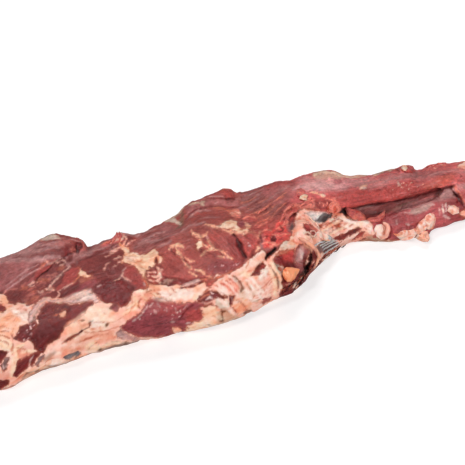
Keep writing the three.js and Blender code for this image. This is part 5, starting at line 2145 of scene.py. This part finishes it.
def rays(spots):
    """The directions from the camera through some pixels."""
    aside = np.asarray(spots, float) - PICTURE / 2
    lines = aside[:, :1] * SIDE - aside[:, 1:] * UPWARD - FOCAL * BACKWARD
    return lines / np.linalg.norm(lines, axis=1)[:, None]


shown_at = picture_spot(moved[seen > 0.5])
shown_depth = np.linalg.norm(moved[seen > 0.5] - np.array(EYE), axis=1)
print("the skin is", shown_depth.min().round(3), "to", shown_depth.max().round(3), "m from the camera")


def depth_of(spot, ray):
    """How far the skin is from the camera at a pixel, or at the nearest pixel that shows skin."""
    depth = skin_tree.ray_cast(EYE, Vector(ray))[3]
    return shown_depth[np.argmin(((shown_at - spot) ** 2).sum(1))] if depth is None else depth


def depths(spots, middle, most=0.004):
    """The depths at some pixels. They stay near the depth at the middle pixel."""
    centre = depth_of(middle, rays([middle])[0])
    found = np.array([depth_of(spot, ray) for spot, ray in zip(spots, rays(spots))])
    return np.clip(found, centre - most, centre + most)


def reach_of(outline, centre, angles):
    """How far an outline lies from a centre in each direction, in pixels."""
    reach = np.zeros(len(angles))
    for start, end in zip(outline, outline[1:] + outline[:1]):
        start, side = np.subtract(start, centre), np.subtract(end, start)
        across = np.cos(angles) * side[1] - np.sin(angles) * side[0] + 1e-12
        run = (start[0] * side[1] - start[1] * side[0]) / across
        part = (start[0] * np.sin(angles) - start[1] * np.cos(angles)) / across
        reach = np.where((part >= 0) & (part <= 1) & (run > reach), run, reach)
    return reach


# %% Colour a piece
def dress(piece, tissues, wetness=0.7, sunk=None):
    """Colours a piece with two tissues that mix, and gives it the material of the skin. Where the piece is
    sunk, painted shade makes it darker and redder.
    """
    points = coordinates(piece.data)
    first, second = (colour_of(tissue) for tissue in tissues)
    blots = patches(points, 0.0032, 70) + 0.6 * patches(points, 0.0013, 71)
    colour = mixed(first, second, 0.5 + 0.7 * blots)
    if sunk is not None:
        colour *= mixed((1, 1, 1), (0.85, 0.50, 0.40), ramp(0.1, 0.9, sunk))
    keep_colour(piece.data, "flesh_colour", colour)
    keep_colour(piece.data, "fat_colour", colour)
    keep_colour(piece.data, "grain_shares", np.tile((0.0, 1.0, 0.0), (len(points), 1)))
    keep_value(piece.data, "fatness", np.full(len(points), 3.0 if tissues[0] in FAT else -3.0))
    keep_value(piece.data, "wetness", np.full(len(points), wetness))
    piece.data.materials.append(raw)


def gather(name, parts):
    """Joins some objects into one piece of the meat."""
    bpy.ops.object.select_all(action="DESELECT")
    for part in parts:
        part.select_set(True)
    bpy.context.view_layer.objects.active = parts[0]
    bpy.ops.object.join()
    parts[0].name = name
    bpy.ops.object.shade_smooth()
    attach(parts[0], "root")
    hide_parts("tenderloin")
    print(name, "has", sum(len(p.vertices) - 2 for p in parts[0].data.polygons), "triangles")


# %% Lumps
def lump(outline, tissues, thick=2.5, rise=0.3, rough=1.0, level=5):
    """A lump whose edge follows an outline on the picture. Thickness and rise are in millimetres."""
    centre = np.mean(outline, 0)
    bpy.ops.object.select_all(action="DESELECT")
    bpy.ops.mesh.primitive_ico_sphere_add(subdivisions=level, radius=1)
    made = bpy.context.object
    ball = coordinates(made.data)
    angles = np.arctan2(ball[:, 1], ball[:, 0])
    spread = reach_of(outline, centre, angles) * np.hypot(ball[:, 0], ball[:, 1]) ** 0.8
    spots = centre + spread[:, None] * np.stack([np.cos(angles), np.sin(angles)], 1)
    depth = depths(spots, centre)
    height = np.where(ball[:, 2] > 0, thick * ball[:, 2], 1.6 * ball[:, 2]) + rise
    points = np.array(EYE) + rays(spots) * (depth - height * MM)[:, None]
    bumps = patches(points, 0.0030, 72) + 0.7 * patches(points, 0.0015, 73)
    points -= rays(spots) * (rough * 0.7 * bumps * np.clip(thick / 3, 0.3, 1.0) * MM)[:, None]
    points[:, 2] = np.maximum(points[:, 2], 0.0003)
    made.data.vertices.foreach_set("co", points.ravel())
    made.data.update()
    made.location = (0, 0, 0)
    bpy.ops.object.mode_set(mode="EDIT")
    bpy.ops.mesh.select_all(action="SELECT")
    bpy.ops.mesh.normals_make_consistent(inside=False)
    bpy.ops.object.mode_set(mode="OBJECT")
    smooth_out(made, 3)
    dress(made, tissues, 0.7, -rough * bumps)
    return made


# %% Lumps of fat and torn flesh
NUGGET = [
    (282, 274), (283, 270), (286, 267), (291, 267), (296, 268), (300, 269), (299, 272), (297, 275),
    (295, 279), (291, 282), (287, 282), (284, 279),
]
HANGING_LOBE = [
    (420, 235), (423, 231), (427, 231), (429, 235), (430, 239), (428, 242), (423, 242), (418, 240),
    (416, 238),
]
HANGING_BUD = [(415, 238), (418, 234), (421, 235), (420, 238), (417, 239)]
UPPER_END = [
    (424, 219), (426, 215), (430, 213), (434, 214), (436, 218), (435, 224), (433, 229), (428, 230),
    (425, 226),
]
SLOPING_PART = [
    (414, 233), (416, 227), (419, 222), (424, 218), (427, 223), (427, 229), (422, 233), (417, 235),
]
LOWER_PART = [
    (396, 236), (399, 232), (404, 230), (410, 230), (415, 228), (418, 232), (415, 237), (410, 240),
    (402, 241),
]
LEFT_TIP = [(392, 233), (398, 234), (403, 235), (402, 239), (398, 237)]
END_NUB = [(447, 211), (449, 206), (454, 205), (459, 208), (459, 213), (453, 215)]
ROLL_BODY = [(374, 229), (376, 225), (381, 224), (385, 226), (386, 231), (384, 237), (380, 239), (376, 236)]
PALE_CAP = [(299, 199), (300, 196), (304, 194), (308, 195), (307, 198), (307, 201), (303, 200)]
RED_CAP = [(296, 193), (297, 189), (301, 188), (305, 190), (306, 194), (301, 196), (297, 197)]
EDGE_KNOB = [(396, 170), (399, 167), (403, 165), (409, 165), (413, 166), (415, 170), (413, 173), (406, 173)]
KNOB_CAP = [(401, 168), (403, 165), (406, 165), (408, 168), (406, 171), (403, 171)]
TORN_BALL = [(329, 204), (333, 201), (338, 203), (341, 208), (339, 212), (334, 214), (329, 212), (327, 208)]
FLAP_LEFT = [
    (344, 205), (348, 208), (354, 209), (360, 211), (365, 215), (367, 220), (360, 221), (352, 219),
    (347, 214),
]
FLAP_RIGHT = [
    (366, 219), (370, 217), (376, 217), (381, 213), (385, 211), (385, 216), (381, 222), (375, 224),
    (369, 223),
]
CAP_FOOT = [(318, 236), (322, 236), (327, 238), (331, 241), (326, 241), (321, 239)]
SINEW_CAP = [(325, 234), (329, 235), (333, 238), (335, 241), (331, 242), (326, 241)]
CAP_HEAD = [(315, 234), (318, 231), (322, 232), (327, 234), (329, 237), (327, 240), (322, 239), (317, 237)]
gather("nugget_of_fat", [lump(NUGGET, ("orange", "orange"), 4.0, 1.0, 0.9)])
gather("side_fat", [
    lump(LOWER_PART, ("rose", "white"), 2.0, 0.6, 2.0), lump(LEFT_TIP, ("peach", "rose"), 1.2, 0.3, 2.0),
    lump(SLOPING_PART, ("rose", "white"), 2.6, 0.8, 2.0), lump(UPPER_END, ("white", "rose"), 2.8, 0.8, 2.0),
    lump(END_NUB, ("rose", "white"), 2.0, 0.5),
])
gather("hanging_fat", [
    lump(HANGING_LOBE, ("rose", "peach"), 2.6, 1.2), lump(HANGING_BUD, ("rose", "white"), 1.8, 0.8),
])
gather("roll_of_fat", [lump(ROLL_BODY, ("white", "white"), 2.0, 0.8, 1.2)])
gather("capped_nub", [
    lump(RED_CAP, ("rosy", "salmon"), 1.6, 0.2), lump(PALE_CAP, ("cream", "tallow"), 1.8, 0.8),
])
gather("edge_knob", [
    lump(EDGE_KNOB, ("rosy", "brown"), 1.8, 0.3, 1.8), lump(KNOB_CAP, ("cream", "white"), 2.4, 1.2),
])
gather("red_flaps", [
    lump(TORN_BALL, ("salmon", "salmon"), 3.0, 0.6, 1.6), lump(FLAP_LEFT, ("rosy", "salmon"), 2.0, 0.8, 1.4),
    lump(FLAP_RIGHT, ("rosy", "salmon"), 2.0, 0.8, 1.4),
])
gather("sinew_cap", [
    lump(SINEW_CAP, ("pearl", "steel"), 2.2, 0.8), lump(CAP_HEAD, ("white", "rose"), 2.6, 0.8),
    lump(CAP_FOOT, ("peach", "rose"), 1.2, 2.2),
])

# %% [markdown]
# Cords, rims and shreds are long and thin. Each is a curve with a round section that gets thinner
# towards its ends. It is laid on the skin through a few pixels and then made a mesh.

# %% Strands
def strand(line, tissues, thick=0.6, rise=0.3, taper=0.35, wetness=0.8, closed=False):
    """A round strand through some pixels. Its radius and its rise are in millimetres."""
    steps = np.linspace(0, len(line) - 1, 5 * (len(line) - 1) + 1)
    spots = np.stack([np.interp(steps, range(len(line)), [p[k] for p in line]) for k in (0, 1)], 1)
    depth = depths(spots, spots[len(spots) // 2], 0.012)
    places = np.array(EYE) + rays(spots) * (depth - rise * MM)[:, None]
    places += 0.0003 * np.stack([patches(places, 0.003, 74 + k) for k in range(3)], 1)
    places[:, 2] = np.maximum(places[:, 2], 0.0005)
    shape = bpy.data.curves.new("strand", "CURVE")
    shape.dimensions = "3D"
    shape.bevel_depth = thick * MM
    shape.bevel_resolution = 3
    shape.use_fill_caps = True
    path = shape.splines.new("POLY")
    path.points.add(len(places) - 1)
    for point, spot, share in zip(path.points, places, steps / steps[-1]):
        point.co = (*spot, 1)
        point.radius = 1 if closed else taper + (1 - taper) * np.sin(np.pi * share) ** 0.5
    made = bpy.data.objects.new("strand", shape)
    bpy.context.collection.objects.link(made)
    only(made)
    bpy.ops.object.convert(target="MESH")
    made = bpy.context.object
    dress(made, tissues, wetness)
    return made


# %% Cords, rims and shreds
CORDS = [
    [(315, 249), (321, 245), (327, 242), (333, 240)], [(314, 246), (319, 243), (325, 241)],
    [(316, 252), (322, 247), (330, 243), (337, 240)], [(317, 254), (324, 249), (331, 245), (338, 242)],
    [(320, 256), (326, 252), (333, 248), (339, 244)],
]
POCKET_RIM = [(299, 238), (305, 241), (311, 245), (316, 250), (319, 256), (317, 262), (314, 268)]
PALE_STRING = [(309, 216), (312, 220), (316, 223), (319, 227), (319, 232)]
SMALL_RING = [(310, 234), (311, 231), (314, 231), (316, 233), (315, 236), (312, 236), (310, 234)]
ROLLED_EDGE = [(383, 223), (387, 225), (388, 230), (386, 236), (381, 239)]
ROLL_SEAM = [(383, 225), (385, 230), (383, 236)]
RED_SHREDS = [
    [(282, 216), (286, 210), (290, 207), (294, 204)], [(285, 222), (288, 217), (292, 213), (297, 211)],
    [(300, 206), (306, 202), (312, 199)], [(258, 214), (262, 210), (267, 208)],
    [(381, 217), (383, 213), (385, 210)], [(112, 243), (116, 238), (117, 232)],
    [(119, 242), (121, 236), (119, 232)], [(100, 246), (106, 243), (112, 241)],
    [(424, 168), (430, 166), (436, 165)], [(432, 167), (438, 164), (446, 163)],
]
gather("sinew_cords", [strand(line, ("pearl", "pearl"), 0.5, 0.8, 0.5) for line in CORDS])
gather("pocket_rim", [strand(POCKET_RIM, ("pink", "peach"), 1.3, 0.6, 0.5)])
gather("pale_string", [
    strand(PALE_STRING, ("white", "cream"), 0.4, 0.6),
    strand(SMALL_RING, ("rose", "white"), 0.4, 0.7, closed=True),
])
gather("rolled_edge", [
    strand(ROLLED_EDGE, ("rose", "pink"), 1.5, 1.4), strand(ROLL_SEAM, ("rust", "pink"), 0.4, 3.0),
])
gather("red_shreds", [strand(line, ("rosy", "salmon"), 0.8, 0.4, 0.2) for line in RED_SHREDS])

# %% The fringe under the knot
FRINGE_HAIRS = 70
HAIR_TISSUES = (("maroon", "black"), ("maroon", "rust"), ("black", "maroon"), ("bone", "rust"))
HAIR_SHARES = (0.4, 0.3, 0.2, 0.1)
FRINGE_ROOTS = [
    (282, 294), (292, 288), (300, 281), (308, 275), (316, 268), (324, 259), (334, 251), (344, 246),
]
last_root = len(FRINGE_ROOTS) - 1
chance = np.random.default_rng(11)
hairs = []
for share in np.sort(chance.random(FRINGE_HAIRS)):
    root = np.array([np.interp(share * last_root, range(last_root + 1), [p[k] for p in FRINGE_ROOTS])
                     for k in (0, 1)])
    root += chance.uniform(-4.0, 0.5) * np.array((0.6, 0.8))
    way = np.array((0.72, -0.69)) * chance.uniform(3, 8) * (1, chance.uniform(0.7, 1.3))
    tissues = HAIR_TISSUES[int(chance.choice(len(HAIR_TISSUES), p=HAIR_SHARES))]
    tip = root + way / 2 + chance.uniform(-1, 1, 2)
    hair = [tuple(root - way / 2), tuple(root), tuple(tip)]
    hairs.append(strand(hair, tissues, chance.uniform(0.15, 0.40), 0.3, 0.2))
gather("fringe", hairs)
